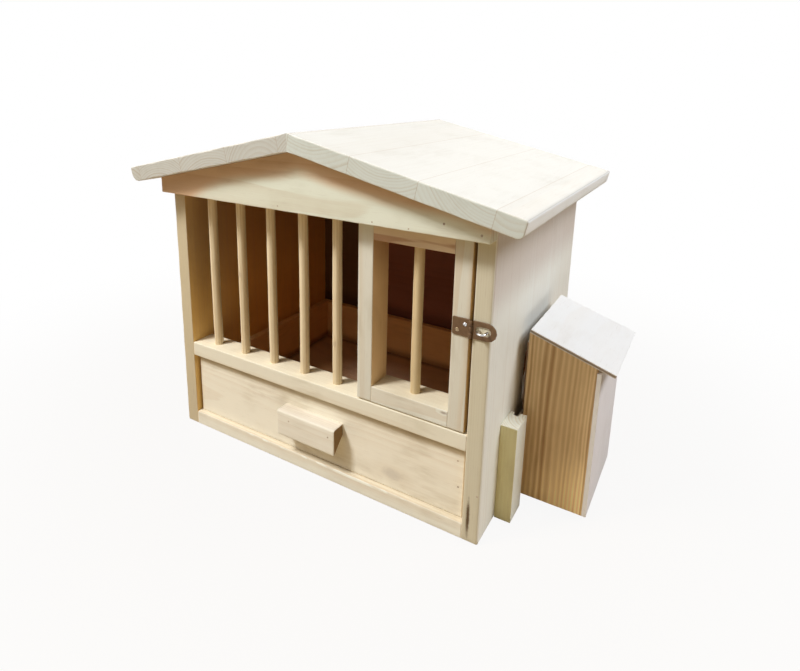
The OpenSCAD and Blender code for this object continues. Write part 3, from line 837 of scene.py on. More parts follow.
# The face in the room takes the room's painted shade and more painted shade towards the left end.
wood = pine("rear_pine", mid, "x", (8, 30), 3.2, 8, pale=(0.77, 0.63, 0.43), amber=(0.54, 0.37, 0.21),
            rings_share=0.26, stave=88, seed=13, grime=0.10, room_shade_tone=(0.44, 0.20, 0.18), glue=0.3,
            faces=[(FRONT, (0.48, 0.62, 0.40), (-62, 0, 0), (-136, 0, 0))])
lay("rear", board(gabled(lo, hi), "y", lo[1], hi[1], seed=9), wood, "cage", "rear_wall")
print("rear wall:", np.round(hi - lo, 1).tolist(), "mm")

# %% [markdown]
# Two rails of the same stock frame the front. The middle rail carries the bars and the door's lower pin,
# and the header rail behind the gable board takes their tops. Both are plain boards, so one loop lays
# them.

# %% Rails
for node, seed, pith in (("middle_rail", 17, (10, 40)), ("header_rail", 19, (12, 30))):
    lo, hi, mid = box_mm(node)
    # Their tops are tinted lighter: painted light.
    wood = pine(node + "_pine", mid, "x", pith, 2.6, 6, seed=seed, rings_share=0.4,
                faces=[(UP, (1.08, 1.04, 0.98))])
    lay(node + "_wood", plank(node, "x", seed=seed), wood, "cage", node)
    print(node, np.round(hi - lo, 1).tolist(), "mm")

# %% [markdown]
# The gable board closes the front under the roof. It is one wide board with slow, wavy grain. The roof
# stands 15 mm in front of it and shades its upper part, and the board also carries the painted shade of
# the eaves there.

# %% Gable
lo, hi, mid = box_mm("gable_board")
# The painted shade of the eaves lies over its upper part.
wood = pine("gable_pine", mid, "x", (22, 34), 5.5, 26, pale=(0.80, 0.83, 0.70), amber=(0.62, 0.53, 0.37),
            rings_share=0.46, seed=23, tilt=(0, 0, 1.4), eave_shaded=True)
lay("gable", board(gabled(lo, hi), "y", lo[1], hi[1], seed=23), wood, "cage", "gable_board")
print("gable:", np.round(hi - lo, 1).tolist(), "mm")

# %% [markdown]
# The roof: two edge-glued panels with the grain from front to back, mitred along the ridge and rounded at
# the eaves, the left one more than the right. A turned object could carry the pitch, but a piece keeps
# its place in its mesh. So each panel is a prism in its own slanted frame, where s runs down the slope
# and t out of it, and its points are then turned by the pitch.

# %% Roof panels
def slanted(made, angle, x, z, sign=1):
    """A board in (s, y, t) set down at x, z: across = s cos + t sin towards sign, up = t cos - s sin."""
    points, quads, tris, edge = made
    s, y, t = points.T
    across = s * math.cos(angle) + t * math.sin(angle)
    points = np.stack([x + sign * across, y, z - s * math.sin(angle) + t * math.cos(angle)], 1)
    if sign < 0:
        quads, tris = quads[:, ::-1], tris[:, ::-1]
    return points, quads, tris, edge


MITRE = ((0, 0), (math.cos(PITCH), math.sin(PITCH)))
ROOF = {"roof_left": dict(sign=-1, seed=31, eave=9.5, pith=(6, 58), rings_share=0.38,
                          cut_end=(0.90, 0.93, 0.925)),
        "roof_right": dict(sign=1, seed=37, eave=6.0, pith=(6, -56), rings_share=0.12,
                           cut_end=(1.03, 1.13, 1.14))}
for node, panel in ROOF.items():
    lo, hi, mid = box_mm(node)
    length = (max(-lo[0], hi[0]) - BOARD * math.sin(PITCH)) / math.cos(PITCH)
    outline = [(0, 0), (length, 0), (length, BOARD), (-BOARD * SLOPE, BOARD)]
    made = board(outline, "y", lo[1], hi[1], radius=[0.1, panel["eave"], 2.2, 0.1], ease=1.1,
                 seed=panel["seed"], sharp=MITRE)
    made = slanted(made, PITCH, 0, RIDGE / MM, panel["sign"])
    # Painted light: the right panel's front end is lighter than the left one's, and the faces that look right
    # are tinted brighter.
    wood = pine(node + "_pine", mid, (90, 0, -panel["sign"] * math.degrees(PITCH)), panel["pith"], 3.6, 7,
                pale=(0.65, 0.635, 0.585), amber=(0.53, 0.46, 0.37), rings_share=panel["rings_share"],
                stave=74, seed=panel["seed"], grime=0.2, cut_end=panel["cut_end"],
                faces=[(RIGHT, (1.48, 1.54, 1.64))])
    lay(node + "_panel", made, wood, "cage", node)
    print(node, "panel", round(length, 1), "mm long")

# %% [markdown]
# The bars are dowels from a rounding plane: never quite round and never quite straight. A cylinder would
# show that at once in its highlights. So the radius carries small waves round and along the bar, and its
# middle line bows by a fraction of a millimetre. The grid of rings closes on a single point at each end.

# %% Bars
def closed_tube(ring, first, last):
    """A grid of rings, closed at both ends by a fan to one point."""
    rows, cols = ring.shape[:2]
    points = np.concatenate([ring.reshape(-1, 3), [first, last]])
    a, b = np.arange(cols), (np.arange(cols) + 1) % cols
    top, pole = (rows - 1) * cols, 0 * a + rows * cols
    tris = np.concatenate([np.stack([b, a, pole], 1), np.stack([a + top, b + top, pole + 1], 1)])
    return points, ring_quads(rows, cols), tris, np.zeros(len(points))


def dowel(x, y, low, high, d, seed):
    """A bar: radius d/2 x (1 + waves round and along it), on a middle line that bows as a sine."""
    u, angle = np.linspace(0, 1, 46)[:, None], np.linspace(0, 2 * np.pi, 28, endpoint=False)[None]
    rng = np.random.default_rng(seed)
    oval = 0.018 * np.sin(2 * angle + rng.uniform(0, 6))
    twist = 0.012 * np.sin(3 * angle + 9 * u + rng.uniform(0, 6))
    swell = 0.022 * breath(u * (high - low) * 0.6, seed)[:, None]
    r = d / 2 * (1 + oval + twist + swell) - 0.06
    bow, way = rng.uniform(0.2, 0.7), rng.uniform(0, 2 * np.pi)
    shift = bow * np.sin(np.pi * u)
    ring = np.stack([x + r * np.cos(angle) + shift * np.cos(way), y + r * np.sin(angle) + shift * np.sin(way),
                     low + u * (high - low) + 0 * angle], 2)
    return closed_tube(ring, (x, y, low), (x, y, high))


BAR_SEEDS = {"bar_1": 76, "bar_2": 77, "bar_3": 78, "bar_4": 79, "bar_5": 80, "door_bar": 105}
BAR_KNOTS = {"bar_2": 222.0, "bar_5": 168.0}
for node, seed in BAR_SEEDS.items():
    lo, hi, mid = box_mm(node)
    on_door = node == "door_bar"
    d = hi[0] - lo[0]
    wood = pine(node + "_wood", mid, "z", (14, 6 + seed % 5), 2.2, 5, amber=(0.60, 0.42, 0.22),
                pale=(0.75, 0.615, 0.37) if on_door else (0.86, 0.735, 0.505), rings_share=0.5, seed=seed,
                grime=0.3, knot_at=(mid[0], mid[1] - d / 2, BAR_KNOTS.get(node, 0.0)),
                knot_size=2.4 if node in BAR_KNOTS else 0.0)
    lay(node + "_dowel", dowel(mid[0], mid[1], lo[2], hi[2], d, seed), wood, "door" if on_door else "cage",
        node)
    print(node, "at x", round(mid[0], 1), "mm")

# %% [markdown]
# The door is a small frame of square stock: two stiles that run through and two rails between them. It
# could be one block with a hole, but then the grain would run the same way all round. The upper rail lies
# in the shade of the gable board, where its close reddish years show best, and the lower one has a small
# dent.

# %% Door frame
STILE = dict(grain="z", pale=(0.75, 0.735, 0.63), rings_share=0.4)
# Painted light and shade: the left stile's side in the opening is warmer as if lit by bounced light and
# darker near its top under the gable, the right stile's side in the gap is darker, and the lower rail's top
# warmer and darker. The upper rail's pine is darker and redder than the stiles': its reddish years, with
# painted shade of the gable on them.
DOOR = {
    "door_stile_left": dict(STILE, seed=51, pith=(6, 40), faces=[
        (RIGHT, (1.34, 1.06, 0.76)), (RIGHT, (0.58, 0.50, 0.44), (0, 0, 245), (0, 0, 305))]),
    "door_stile_right": dict(STILE, seed=53, pith=(-9, 36), faces=[(RIGHT, (0.95, 0.74, 0.44))]),
    "door_rail_top": dict(grain="x", seed=57, pith=(5, 34), pale=(0.80, 0.64, 0.46),
                          amber=(0.48, 0.27, 0.155), rings_share=0.8),
    "door_rail_bottom": dict(grain="x", seed=59, pith=(-4, 38), pale=(0.84, 0.84, 0.74), rings_share=0.4,
                             faces=[(UP, (1.0, 0.93, 0.82))], knot_at=(166.5, -153, 134.4), knot_size=1.5,
                             stretch=(1.0, 0.12, 0.36), mark=0.7)}
for node, look in DOOR.items():
    lo, hi, mid = box_mm(node)
    wood = pine(node + "_pine", mid, year=2.5, sway=6, **look)
    made = plank(node, look["grain"], ease=0.9 if look["grain"] == "z" else 0.4, seed=look["seed"])
    lay(node + "_wood", made, wood, "door", node)
    print(node, np.round(hi - lo, 1).tolist(), "mm")

# %% [markdown]
# The drawer is a broad front board with thin sides and a thin rear. The front has a knot near its right
# end and a painted shadow along its upper edge, under the middle rail. The other three carry the room's
# painted shade, and more painted shade where light would fall on the right side's top and the rear
# board's right end.

# %% Drawer boards
FRONT_TOP = box_mm("drawer_front")[1][2]
# The room's painted shade for the drawer's sides and rear.
SHADED_INSIDE = dict(room_shade_tone=(0.96, 0.55, 0.245), rings_share=0.12, ease=0.6)
# The front's tint along its upper edge is a painted shadow under the middle rail; the tints on the right
# side's top and the rear board's right end are painted shade.
DRAWER = {
    "drawer_front": dict(grain="x", seed=61, pith=(16, 38), ease=0.9, knot_at=(106, -146, 36), knot_size=7.5,
                         pale=(0.97, 0.93, 0.785), amber=(0.73, 0.60, 0.42), rings_share=0.24, grime=0.7,
                         faces=[(FRONT, (0.66, 0.60, 0.52), (0, 0, FRONT_TOP - 9), (0, 0, FRONT_TOP - 2))]),
    "drawer_side_left": dict(SHADED_INSIDE, grain="y", seed=63, pith=(5, 25)),
    "drawer_side_right": dict(SHADED_INSIDE, grain="y", seed=65, pith=(5, 25),
                              faces=[(UP, (0.28, 0.24, 0.22), (0, 10, 0), (0, 45, 0))]),
    "drawer_rear_board": dict(SHADED_INSIDE, grain="x", seed=67, pith=(8, 30),
                              faces=[(FRONT, (0.26, 0.24, 0.24), (138, 0, 0), (162, 0, 0))])}
for node, look in DRAWER.items():
    lo, hi, mid = box_mm(node)
    ease = look.pop("ease")
    wood = pine(node + "_pine", mid, year=4.5, sway=22, tilt=(0, 0, 1.0), **look)
    made = plank(node, look["grain"], ease=ease, radius=ease, seed=look["seed"])
    lay(node + "_wood", made, wood, "drawer", node)
    print(node, np.round(hi - lo, 1).tolist(), "mm")

# %% [markdown]
# The drawer's plywood floor is also the cage's floor. A pale patch on its middle is a painted pool of
# light from the front. The knot effect already gives a soft patch, so it is used with a pale tone. The
# handle is a block whose underside slants back to make room for the fingertips.

# %% Drawer floor and handle
lo, hi, mid = box_mm("drawer_floor")
# The pale patch given by the knot is a painted pool of light; the room's painted shade lies over the rest.
wood = pine("drawer_floor_ply", mid, "x_flat", (10, 160), 9.0, 30, pale=(0.76, 0.64, 0.45), rings_share=0.5,
            seed=71, room_shade_tone=(0.60, 0.36, 0.21), ply=6.0, knot_at=(-26, 46, 27.5), knot_size=50.0,
            stretch=(1.0, 0.12, 0.7), mark=0.6, mark_tone=(1.35, 1.5, 1.75))
made = plank("drawer_floor", "x", ease=0.3, radius=0.3, seed=71)
lay("drawer_bottom", made, wood, "drawer", "drawer_floor")

GRIP = 14.0
lo, hi, mid = box_mm("drawer_handle")
flat = [(lo[1], lo[2]), (hi[1], hi[2] - GRIP), (hi[1], hi[2]), (lo[1], hi[2])]
# Painted shade: the end grain is dark where the end lies in shade, and the top a little darker.
wood = pine("handle_pine", mid, "x", (7, 30), 2.8, 6, pale=(0.92, 0.89, 0.77), rings_share=0.15, seed=73,
            cut_end=(0.30, 0.19, 0.085), faces=[(UP, (0.93, 0.90, 0.90))])
made = board(flat, "x", lo[0], hi[0], radius=[0.9, 0.9, 0.6, 2.6], ease=1.0, seed=73)
lay("handle_block", made, wood, "drawer", "drawer_handle")
print("drawer handle:", np.round(hi - lo, 1).tolist(), "mm")

# %% [markdown]
# The feeder hangs outside the right wall. Two battens with a groove hold the ears of its back plate, so
# that the whole box lifts out. The groove could be cut by a Boolean. Here it is part of the batten's
# outline, and it stops above the foot, because the points of its lowest stretch are moved out to the
# batten's face.

# %% Guide battens
GROOVE = (214.5, 220.5)
GROOVE_DEEP, GROOVE_FOOT = 6.0, 6.0
GROOVE_MIDDLE, GROOVE_REACH = sum(GROOVE) / 2, 3.9
for node, sign in (("guide_front", -1), ("guide_rear", 1)):
    lo, hi, mid = box_mm(node)
    face, back = (hi[1], lo[1]) if sign < 0 else (lo[1], hi[1])
    deep = face + sign * GROOVE_DEEP
    flat = [(lo[0], back), (hi[0], back), (hi[0], face), (GROOVE[1], face), (GROOVE[1], deep),
            (GROOVE[0], deep), (GROOVE[0], face), (lo[0], face)]
    made = board(flat[::-sign], "z", lo[2], hi[2], radius=0.7, ease=0.8,
                 cuts=(GROOVE_FOOT - 0.02, GROOVE_FOOT + 0.02), seed=81 + sign)
    x, y, z = made[0].T
    in_groove = (np.abs(x - GROOVE_MIDDLE) < GROOVE_REACH) & (np.abs(y - deep) < GROOVE_DEEP - 0.1)
    closed = (z < GROOVE_FOOT) & in_groove
    made[0][:, 1] = np.where(closed, face, y)
    # Painted light: the top end is lighter, the side that looks right brighter, and the front a little
    # warmer.
    wood = pine(node + "_pine", mid, "z", (20, 14), 2.6, 6, pale=(0.88, 0.85, 0.61), amber=(0.65, 0.51, 0.25),
                seed=81 + sign, cut_end=(1.10, 1.13, 1.36), rings_share=0.1,
                faces=[(FRONT, (0.97, 0.96, 0.80)), (RIGHT, (1.08, 1.16, 1.48))])
    lay(node + "_batten", made, wood, "cage", node)
    print(node, "closed below", GROOVE_FOOT, "mm:", int(closed.sum()), "points moved")

# %% [markdown]
# The feeder's side panels are close-ringed pine, sawn so that the years stand upright as stripes. A
# striped texture would be too even. With the pith far to one side, the same log gives stripes that waver
# and fade. The panel's top follows the slope of the lid.

# %% Feeder sides
LID_DEGREES = 17.7
LID = math.radians(LID_DEGREES)
for node, seed in (("feeder_side_front", 85), ("feeder_side_rear", 87)):
    lo, hi, mid = box_mm(node)
    drop = (hi[0] - lo[0]) * math.tan(LID)
    flat = [(lo[0], lo[2]), (hi[0], lo[2]), (hi[0], hi[2] - drop), (lo[0], hi[2])]
    # Painted light: the front face is brighter towards its lower, outer corner.
    wood = pine(node + "_pine", mid, "z", (160, 60), 4.3, 14, pale=(0.84, 0.63, 0.35),
                amber=(0.39, 0.21, 0.08), rings_share=1.1, seed=seed, grime=0.4, waver=4.2, soft=0.7,
                faces=[(FRONT, (1.42, 1.50, 1.48), (262, 0, 82), (300, 0, 30))])
    made = board(flat, "y", lo[1], hi[1], ease=0.5, radius=0.6, seed=seed)
    lay(node + "_wood", made, wood, "feeder", node)
    print(node, "top falls by", round(drop, 1), "mm")

# %% [markdown]
# The outer plate and the tray are thin, pale plywood. The plate carries painted shade under the lid's
# overhang and painted light on its front edge. Both fill their boxes, so they are plain planks with a
# plywood's wide, faint years: a veneer is peeled off the log, and the pith lies far behind it.

# %% Feeder plate and tray
PLY = dict(year=9.0, sway=40, pale=(0.85, 0.825, 0.835), amber=(0.76, 0.71, 0.71), rings_share=0.4,
           grime=0.15, ply_tone=(0.55, 0.42, 0.30))
PEELED = (30, 200)
lo, hi, mid = box_mm("feeder_face")
# Painted light on the front edge, painted shade under the lid.
wood = pine("feeder_face_ply", mid, "z_wall", PEELED, seed=89, **PLY,
            faces=[(FRONT, (1.16, 1.20, 1.18)),
                   (RIGHT, (0.68, 0.66, 0.65), (0, 0, hi[2] - 34), (0, 0, hi[2]))])
made = plank("feeder_face", "x", ease=0.4, radius=0.5, seed=89)
lay("feeder_outer_plate", made, wood, "feeder", "feeder_face")
wood = pine("feeder_tray_ply", box_mm("feeder_tray")[2], "y", PEELED, seed=91, ply=6.0, **PLY)
made = plank("feeder_tray", "y", ease=0.3, radius=0.3, seed=91)
lay("feeder_tray_board", made, wood, "feeder", "feeder_tray")
print("feeder plate:", np.round(hi - lo, 1).tolist(), "mm")

# %% [markdown]
# The lid is one sheet of white plywood that lies on the slanted tops. It is made like a roof panel: flat
# in its own frame, then turned. Its edge shows the dark middle sheet of the plywood.

# %% Feeder lid
LID_SHEET = 4.0
LID_PLY = {**PLY, "pale": (0.985, 0.98, 0.96), "amber": (0.92, 0.89, 0.84), "ply_tone": (0.22, 0.14, 0.08)}
lo, hi, mid = box_mm("feeder_lid")
length = (hi[0] - lo[0] - LID_SHEET * math.sin(LID)) / math.cos(LID)
made = board(oblong((0, length), (0, LID_SHEET)), "y", lo[1], hi[1], ease=0.4, radius=0.5, seed=93)
made = slanted(made, LID, lo[0], hi[2] - LID_SHEET * math.cos(LID))
wood = pine("feeder_lid_ply", mid, (90, 0, -LID_DEGREES), PEELED, seed=93, ply=LID_SHEET, **LID_PLY)
lay("feeder_lid_sheet", made, wood, "feeder", "feeder_lid")
print("feeder lid:", round(length, 1), "mm down its slope")

# %% [markdown]
# The back plate closes the feeder towards the wall. It is wide at its foot, where its ears reach into the
# grooves, and narrower above them. It has the same opening as the wall, so the hole's outline is used
# again.

# %% Feeder back plate
EAR_TOP, SHOULDER = 101.0, 48.0
lo, hi, mid = box_mm("feeder_back")
flat = [(lo[1], lo[2]), (hi[1], lo[2]), (hi[1], EAR_TOP), (SHOULDER, EAR_TOP), (SHOULDER, hi[2]),
        (-SHOULDER, hi[2]), (-SHOULDER, EAR_TOP), (lo[1], EAR_TOP)]
# Painted shade: its front edge and the side that faces the wall are darker, in the gap beside the wall.
wood = pine("feeder_back_ply", mid, "z_wall", PEELED, seed=95, ply=5.4, **PLY,
            faces=[(FRONT, (0.52, 0.36, 0.24)), (LEFT, (0.52, 0.36, 0.24))])
made = board(flat, "x", lo[0], hi[0], radius=0.5, ease=0.4, holes=[hatch], seed=95)
lay("feeder_back_plate", made, wood, "feeder", "feeder_back")
print("feeder back plate:", np.round(hi - lo, 1).tolist(), "mm")

# %% [markdown]
# The hasp is thin pressed sheet with a bronzed skin that has rubbed through to a paler metal along its
# edges. The staple, the door's pins and one of the screws are bright steel. One plain metal colour looks
# like plastic here, so the finish has clouds of tone, fine scratches and worn edges.

# %% Metal finishes
def metal(name, skin, rubbed, rough, shine, scratch, mottle=0.62):
    """A metal finish: clouds of tone, fine scratches, and paler metal where the edge is rubbed."""
    mat, tree, shader = new_finish(name)
    where = put(tree, "TexCoord").outputs["Object"]
    cloud, _ = noise(tree, where, 260.0, 3.0)
    line, _ = noise(tree, where, (300.0, 300.0, 2600.0))
    edge = put(tree, "Attribute", attribute_name="edge").outputs["Fac"]
    mottled = tuple(part * mottle for part in skin)
    tone = blend(tree, ramp(tree, cloud, 0.3, 0.75), (*skin, 1), (*mottled, 1))
    worn = times(tree, edge, ramp(tree, cloud, 0.25, 0.6), 0.7)
    scratched = times(tree, ramp(tree, line, 0.62, 0.72), scratch)
    tone = blend(tree, calc(tree, "MAXIMUM", worn, scratched), tone, (*rubbed, 1))
    tree.links.new(tone, shader.inputs["Base Color"])
    tree.links.new(plus(tree, times(tree, cloud, 0.2), rough - 0.1), shader.inputs["Roughness"])
    shader.inputs["Metallic"].default_value = shine
    bumped(tree, shader, cloud, 0.25, 0.0001)
    return mat


bronze = metal("bronzed_skin", (0.158, 0.084, 0.034), (0.30, 0.20, 0.12), 0.50, 0.30, 0.08, 0.84)
bright = metal("bright_wire", (0.74, 0.73, 0.72), (0.88, 0.87, 0.86), 0.28, 1.0, 0.3)
brass = metal("dull_screw", (0.36, 0.25, 0.14), (0.62, 0.48, 0.30), 0.35, 0.85, 0.3)
dark = metal("nail_head", (0.42, 0.34, 0.25), (0.56, 0.47, 0.37), 0.55, 0.3, 0.1)
dusty = metal("dusty_nail_head", (0.62, 0.51, 0.37), (0.72, 0.62, 0.48), 0.6, 0.1, 0.1)
print("metal finishes:", [mat.name for mat in (bronze, bright, brass, dark, dusty)])

# %% [markdown]
# Round things are turned: a half profile of radius and height is swept round its own axis. Blender's Spin
# could do it, but the formula needs no clean-up. The grid closes on a single point at each pole. Wire is
# the same circle carried along a path instead.

# %% Turned and bent pieces
def turned(radius, height, turns=28):
    """Points of a half profile swept round Z: (r cos, r sin, h); first and last radius are the poles."""
    r, h = np.asarray(radius, float)[1:-1, None], np.asarray(height, float)
    angle = np.linspace(0, 2 * np.pi, turns, endpoint=False)
    ring = np.stack([r * np.cos(angle), r * np.sin(angle), np.repeat(h[1:-1, None], turns, 1)], 2)
    return closed_tube(ring, (0, 0, h[0]), (0, 0, h[-1]))


def wire(path, d, turns=16):
    """A round wire: circles square to the path, with sides along Z and along the path's flat normal."""
    p = np.asarray(path, float)
    along = np.gradient(p, axis=0)
    along /= np.linalg.norm(along, axis=1, keepdims=True)
    up = np.broadcast_to([0.0, 0.0, 1.0], p.shape)
    out = np.cross(along, up)
    angle = np.linspace(0, 2 * np.pi, turns, endpoint=False)[None, :, None]
    ring = p[:, None] + d / 2 * (out[:, None] * np.cos(angle) + up[:, None] * np.sin(angle))
    return closed_tube(ring, p[0], p[-1])


def joined(*parts):
    """Several surfaces as one piece: the faces of each count on from the points of those before it."""
    shift = np.cumsum([0] + [len(made[0]) for made in parts[:-1]])
    points, edge = (np.concatenate([made[k] for made in parts]) for k in (0, 3))
    quads, tris = (np.concatenate([made[k] + more for made, more in zip(parts, shift)]) for k in (1, 2))
    return points, quads, tris, edge


def obround(x, z, length, height, n=40):
    """A slot's outline, clockwise: two half circles a straight run apart."""
    angle = np.linspace(0, 2 * np.pi, n, endpoint=False)[::-1]
    r = height / 2
    centre = x + np.sign(np.cos(angle)) * (length / 2 - r)
    return np.stack([centre + r * np.cos(angle), z + r * np.sin(angle)], 1)


print("turned and bent:", [f.__name__ for f in (turned, wire, joined, obround)])

# %% [markdown]
# The hasp: one leaf screwed to the door's stile, one with a slot that swings over the staple in the wall.
# Their edges are rolled into knuckles round a pin. Each leaf could be a bevelled plane. As a thin board
# with a round end it gets its eased rim from the same formula as the wood, and the slot is a hole in its
# outline.

# %% Hasp
PIN_X, PIN_Y, PIN_Z = 190.25, -155.3, 230.0
HASP_LOW, HASP_HIGH, KNUCKLE_GAP = 221, 239, 0.3
KNUCKLE = (HASP_HIGH - HASP_LOW - 2 * KNUCKLE_GAP) / 3
PLATE_Y, LEAF_Y = (-154.2, -153.0), (-154.5, -153.3)
ROLL, ROLL_END, ROLL_RIM, WEB, CLEAR = 1.7, 1.4, 0.25, 3.0, 2.3
LEAF_END, SLOT_X, SLOT = PIN_X + 25.5, PIN_X + 12.2, (15, 8.5)


def knuckle(z0, side):
    """A rolled knuckle round the hasp's pin and the web that joins it to its leaf."""
    heights = [0, 0, ROLL_RIM, KNUCKLE - ROLL_RIM, KNUCKLE, KNUCKLE]
    roll = turned([0, ROLL_END, ROLL, ROLL, ROLL_END, 0], heights)
    roll[0][:] += (PIN_X, PIN_Y, z0)
    span = (PIN_X, PIN_X + WEB) if side > 0 else (PIN_X - WEB, PIN_X)
    web = board(oblong(span, (z0, z0 + KNUCKLE)), "y", *LEAF_Y, radius=0.2, ease=0.2)
    return joined(roll, web)


plate_x = box_mm("hasp_plate")[0][0]
plate = board(oblong((plate_x, PIN_X - CLEAR), (HASP_LOW, HASP_HIGH)), "y", *PLATE_Y,
              radius=[1.2, 0.3, 0.3, 1.2], ease=0.3, step=3)
plate = joined(plate, knuckle(HASP_LOW, -1), knuckle(HASP_HIGH - KNUCKLE, -1))
lay("hasp_plate_sheet", plate, bronze, "door", "hasp_plate")
leaf = board(oblong((PIN_X + CLEAR, LEAF_END), (HASP_LOW, HASP_HIGH)), "y", *LEAF_Y,
             radius=[0.3, 8.98, 8.98, 0.3], ease=0.3, step=3, holes=[obround(SLOT_X, PIN_Z, *SLOT)])
leaf = joined(leaf, knuckle(PIN_Z - KNUCKLE / 2, 1))
lay("hasp_leaf_sheet", leaf, bronze, "hasp", "hasp_leaf")
print("hasp: pin at", (PIN_X, PIN_Y, PIN_Z), "mm, knuckles of", round(KNUCKLE, 2), "mm")

# %% [markdown]
# The staple is one bent wire: two legs that go into the wall's front edge and a half circle between them.
# A bevelled curve would do, but its path is three short formulas, so it is carried along as an array. The
# pins are plain cylinders in the frame already and only get their finish.

# %% Staple and pins
STAPLE_R, STAPLE_FOOT, STAPLE_BOW, STAPLE_WIRE = 4.0, -143.0, -158.0, 2.2
leg = STAPLE_FOOT + (STAPLE_BOW - STAPLE_FOOT) * np.linspace(0, 1, 5)[:-1]
bend = np.linspace(0, np.pi, 17)
across = np.concatenate([0 * leg - 1, -np.cos(bend), 0 * leg + 1])
out = np.concatenate([leg, STAPLE_BOW - STAPLE_R * np.sin(bend), leg[::-1]])
path = np.column_stack([SLOT_X + STAPLE_R * across, out, 0 * out + PIN_Z])
lay("staple_wire", wire(path, STAPLE_WIRE), bright, "cage", "staple")
for node, finish in (("hasp_pin", bronze), ("door_pin_lower", bright), ("door_pin_upper", bright)):
    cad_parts[node].data.materials.clear()
    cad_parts[node].data.materials.append(finish)
print("staple: wire", round(float(np.linalg.norm(np.diff(path, axis=0), axis=1).sum()), 1), "mm long")

# %% [markdown]
# A screw head is a turned dome whose middle is pressed in along a slot. The slot could be cut with a
# Boolean. Here it is part of the height formula, so no cutting is needed.

# %% Screws
DOME, SLOT_DEEP, SLOT_HALF, SLOT_WALL, SLOT_END = 1 / 2.6, 0.30, 0.26, 0.08, 0.93


def screw(x, y, z, r, angle):
    """A slotted head: height = r/2.6 x sqrt(1 - (d/r)^2), less 0.3 r inside the slot's width."""
    turns = np.linspace(0, 2 * np.pi, 48, endpoint=False)
    d, th = np.meshgrid(np.linspace(0, 1, 15)[1:] * r, turns, indexing="ij")
    u, v = d * np.cos(th), d * np.sin(th)
    across = np.abs(-u * math.sin(angle) + v * math.cos(angle))
    in_slot = np.clip((SLOT_HALF * r - across) / (SLOT_WALL * r), 0, 1) * (d < SLOT_END * r)
    height = r * DOME * np.sqrt(np.maximum(0, 1 - (d / r) ** 2)) - SLOT_DEEP * r * in_slot
    ring = np.stack([x + u, y - height, z + v], 2)[::-1]
    points, quads, tris, edge = closed_tube(ring, (x, y + 0.1, z), (x, y - r * DOME + SLOT_DEEP * r, z))
    return points, quads[:, ::-1], tris[:, ::-1], edge + 0.3


lay("screw_low", screw(176.6, PLATE_Y[0], 226.4, 2.1, 0.25), brass, "door")
lay("screw_high", screw(184.4, PLATE_Y[0], 233.2, 2.0, 1.1), bright, "door")
print("screws: 2 heads on the plate at y", PLATE_Y[0], "mm")

# %% [markdown]
# A nail is a flat head with a rounded rim, a little dished by the hammer, that stands a sixth of a
# millimetre proud of the board. A dark dot in the wood's finish could stand for it, but it would catch no
# light. Each sits on the front face of the node that it holds, and two on the gable are darker than the
# rest.

# %% Nails
def nail(x, y, z, r):
    """A driven nail seen from the front: its profile is a back, a quarter-round rim and a dished middle."""
    quarter = np.linspace(0, np.pi / 2, 5)
    radius = np.concatenate([[0, r], r - 0.25 * r * (1 - np.cos(quarter)), [r * 0.35, 0]])
    height = np.concatenate([[-0.2, -0.2], 0.16 * np.sin(quarter), [0.10, 0.09]])
    points, quads, tris, edge = turned(radius, height, 20)
    return np.stack([x + points[:, 0], y - points[:, 2], z + points[:, 1]], 1), quads, tris, edge


NAILS = [("gable_board", "cage", 1.2, dark, [(166.2, 330.1), (202.1, 324.6)]),
         ("gable_board", "cage", 0.9, dusty, [(-26.4, 322.8)]),
         ("gable_board", "cage", 0.8, dusty, [(91.2, 321.6), (130.8, 320.6)]),
         ("drawer_front", "drawer", 1.1, dusty, [(181.7, 82), (183.3, 52.4)]),
         ("drawer_handle", "drawer", 1.1, dusty, [(-23.7, 65.4), (32.5, 64.7)]),
         ("wall_right", "cage", 1.2, dusty, [(206.6, 55.5)])]
count = 0
for node, body, r, finish, places in NAILS:
    face_y = box_mm(node)[0][1]
    for x, z in places:
        count += 1
        lay("nail_%d" % count, nail(x, face_y, z, r), finish, body)
print("nails:", count)

# %% [markdown]
# The room round the cage is white where the camera, a mirror or a glass looks at it, and a weak warm glow
# where it only lights the wood: light that has bounced about the room fills the shade. One strong white
# world could do both, but it would wash out every shadow.

# %% World
WARM_FILL, FILL_STRENGTH, WHITE = (1.0, 0.67, 0.32, 1), 0.10, (1, 1, 1, 1)


def seen(tree):
    """1 for rays that show the backdrop (from the camera, mirrored or through glass), 0 for light."""
    path = put(tree, "LightPath").outputs
    rays = plus(tree, path["Is Camera Ray"], path["Is Glossy Ray"], path["Is Transmission Ray"])
    return calc(tree, "MINIMUM", rays, 1.0)


scene.view_settings.view_transform = "Standard"
world = bpy.data.worlds.new("studio")
scene.world = world
world.use_nodes = True
tree = world.node_tree
back = tree.nodes["Background"]
shown = seen(tree)
tree.links.new(blend(tree, shown, WARM_FILL, WHITE), back.inputs["Color"])
strength = put(tree, "MapRange", shown, 0.0, 1.0, FILL_STRENGTH, 1.0).outputs["Result"]
tree.links.new(strength, back.inputs["Strength"])
print("world: fill strength", FILL_STRENGTH)

# %% [markdown]
# The floor is pale, keeps the cage's shadow and goes over to white towards its rim. A curved backdrop
# could do the same, but it would stand in the way of the views from behind. So the floor stays flat, and
# its glow grows with the distance from the cage.

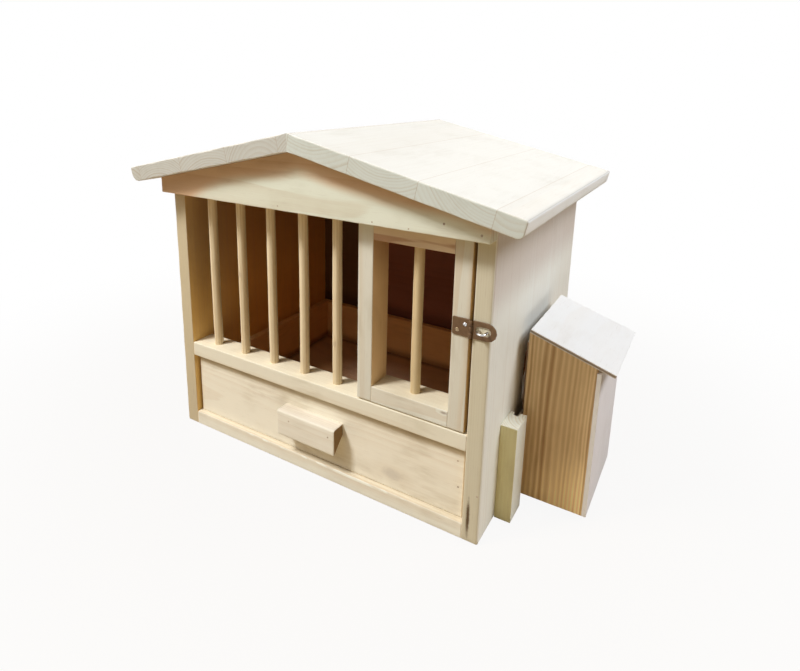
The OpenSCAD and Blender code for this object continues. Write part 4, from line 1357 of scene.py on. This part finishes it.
# %% Floor
FLOOR_HALF, FLOOR_CELLS, FLOOR_DROP = 6, 4, 0.0006
floor_mat = bpy.data.materials.new("studio_floor")
floor_mat.use_nodes = True
tree = floor_mat.node_tree
tree.nodes.clear()
lit = put(tree, "BsdfDiffuse", (0.44, 0.33, 0.20, 1))
glow = put(tree, "Emission", WHITE, 1.0)
away = vec(tree, "LENGTH", put(tree, "TexCoord").outputs["Object"])
share = times(tree, seen(tree), ramp(tree, away, 0.25, 0.9, 0.92, 1.0))
mixed = put(tree, "MixShader", share, lit.outputs[0], glow.outputs[0])
tree.links.new(mixed.outputs[0], put(tree, "OutputMaterial").inputs["Surface"])
cols = FLOOR_CELLS + 1
x, y = np.meshgrid(*[np.linspace(-FLOOR_HALF, FLOOR_HALF, cols)] * 2)
row, col = np.meshgrid(np.arange(FLOOR_CELLS), np.arange(FLOOR_CELLS), indexing="ij")
here = row * cols + col
floor_mesh = bpy.data.meshes.new("floor")
floor_mesh.from_pydata(np.stack([x, y, 0 * x - FLOOR_DROP], 2).reshape(-1, 3).tolist(), [],
                       np.stack([here, here + 1, here + cols + 1, here + cols], 2).reshape(-1, 4).tolist())
floor_mesh.materials.append(floor_mat)
floor = bpy.data.objects.new("floor", floor_mesh)
scene.collection.objects.link(floor)
print("floor:", 2 * FLOOR_HALF, "m wide,", len(floor_mesh.polygons), "faces")

# %% [markdown]
# The light of a small studio: one rather small softbox at the upper left gives the crisp shadows of the
# handle, the bars and the roof, and a wide one round it softens them. A cooler one at the right lights
# the wall and the feeder, and a weak one behind shapes the rear. One lamp could light it all, but then
# the right side would be black.

# %% Softboxes
AIM_AT = Vector((0, 0, 0.2))


def softbox(name, azimuth, height, distance, size, watts, tint):
    """A square softbox that looks at the cage from an azimuth (0 in front, + to the right) and a height."""
    lamp = bpy.data.lights.new(name, "AREA")
    lamp.shape, lamp.size, lamp.energy, lamp.color = "SQUARE", size, watts, tint
    obj = bpy.data.objects.new(name, lamp)
    a, e = math.radians(azimuth), math.radians(height)
    aim = Vector((math.sin(a) * math.cos(e), -math.cos(a) * math.cos(e), math.sin(e)))
    obj.location = AIM_AT + aim * distance
    obj.rotation_euler = aim.to_track_quat("Z", "Y").to_euler()
    scene.collection.objects.link(obj)


softbox("key_light", -34, 50, 2.2, 0.42, 39.3, (0.985, 0.99, 1.0))
softbox("wide_light", -24, 47, 2.2, 1.6, 13.4, (1.0, 0.98, 0.95))
softbox("side_light", 104, 46, 2.2, 0.9, 33.3, (0.85, 0.91, 1.0))
softbox("rear_light", 186, 18, 2.4, 1.2, 14, (1.0, 0.96, 0.90))
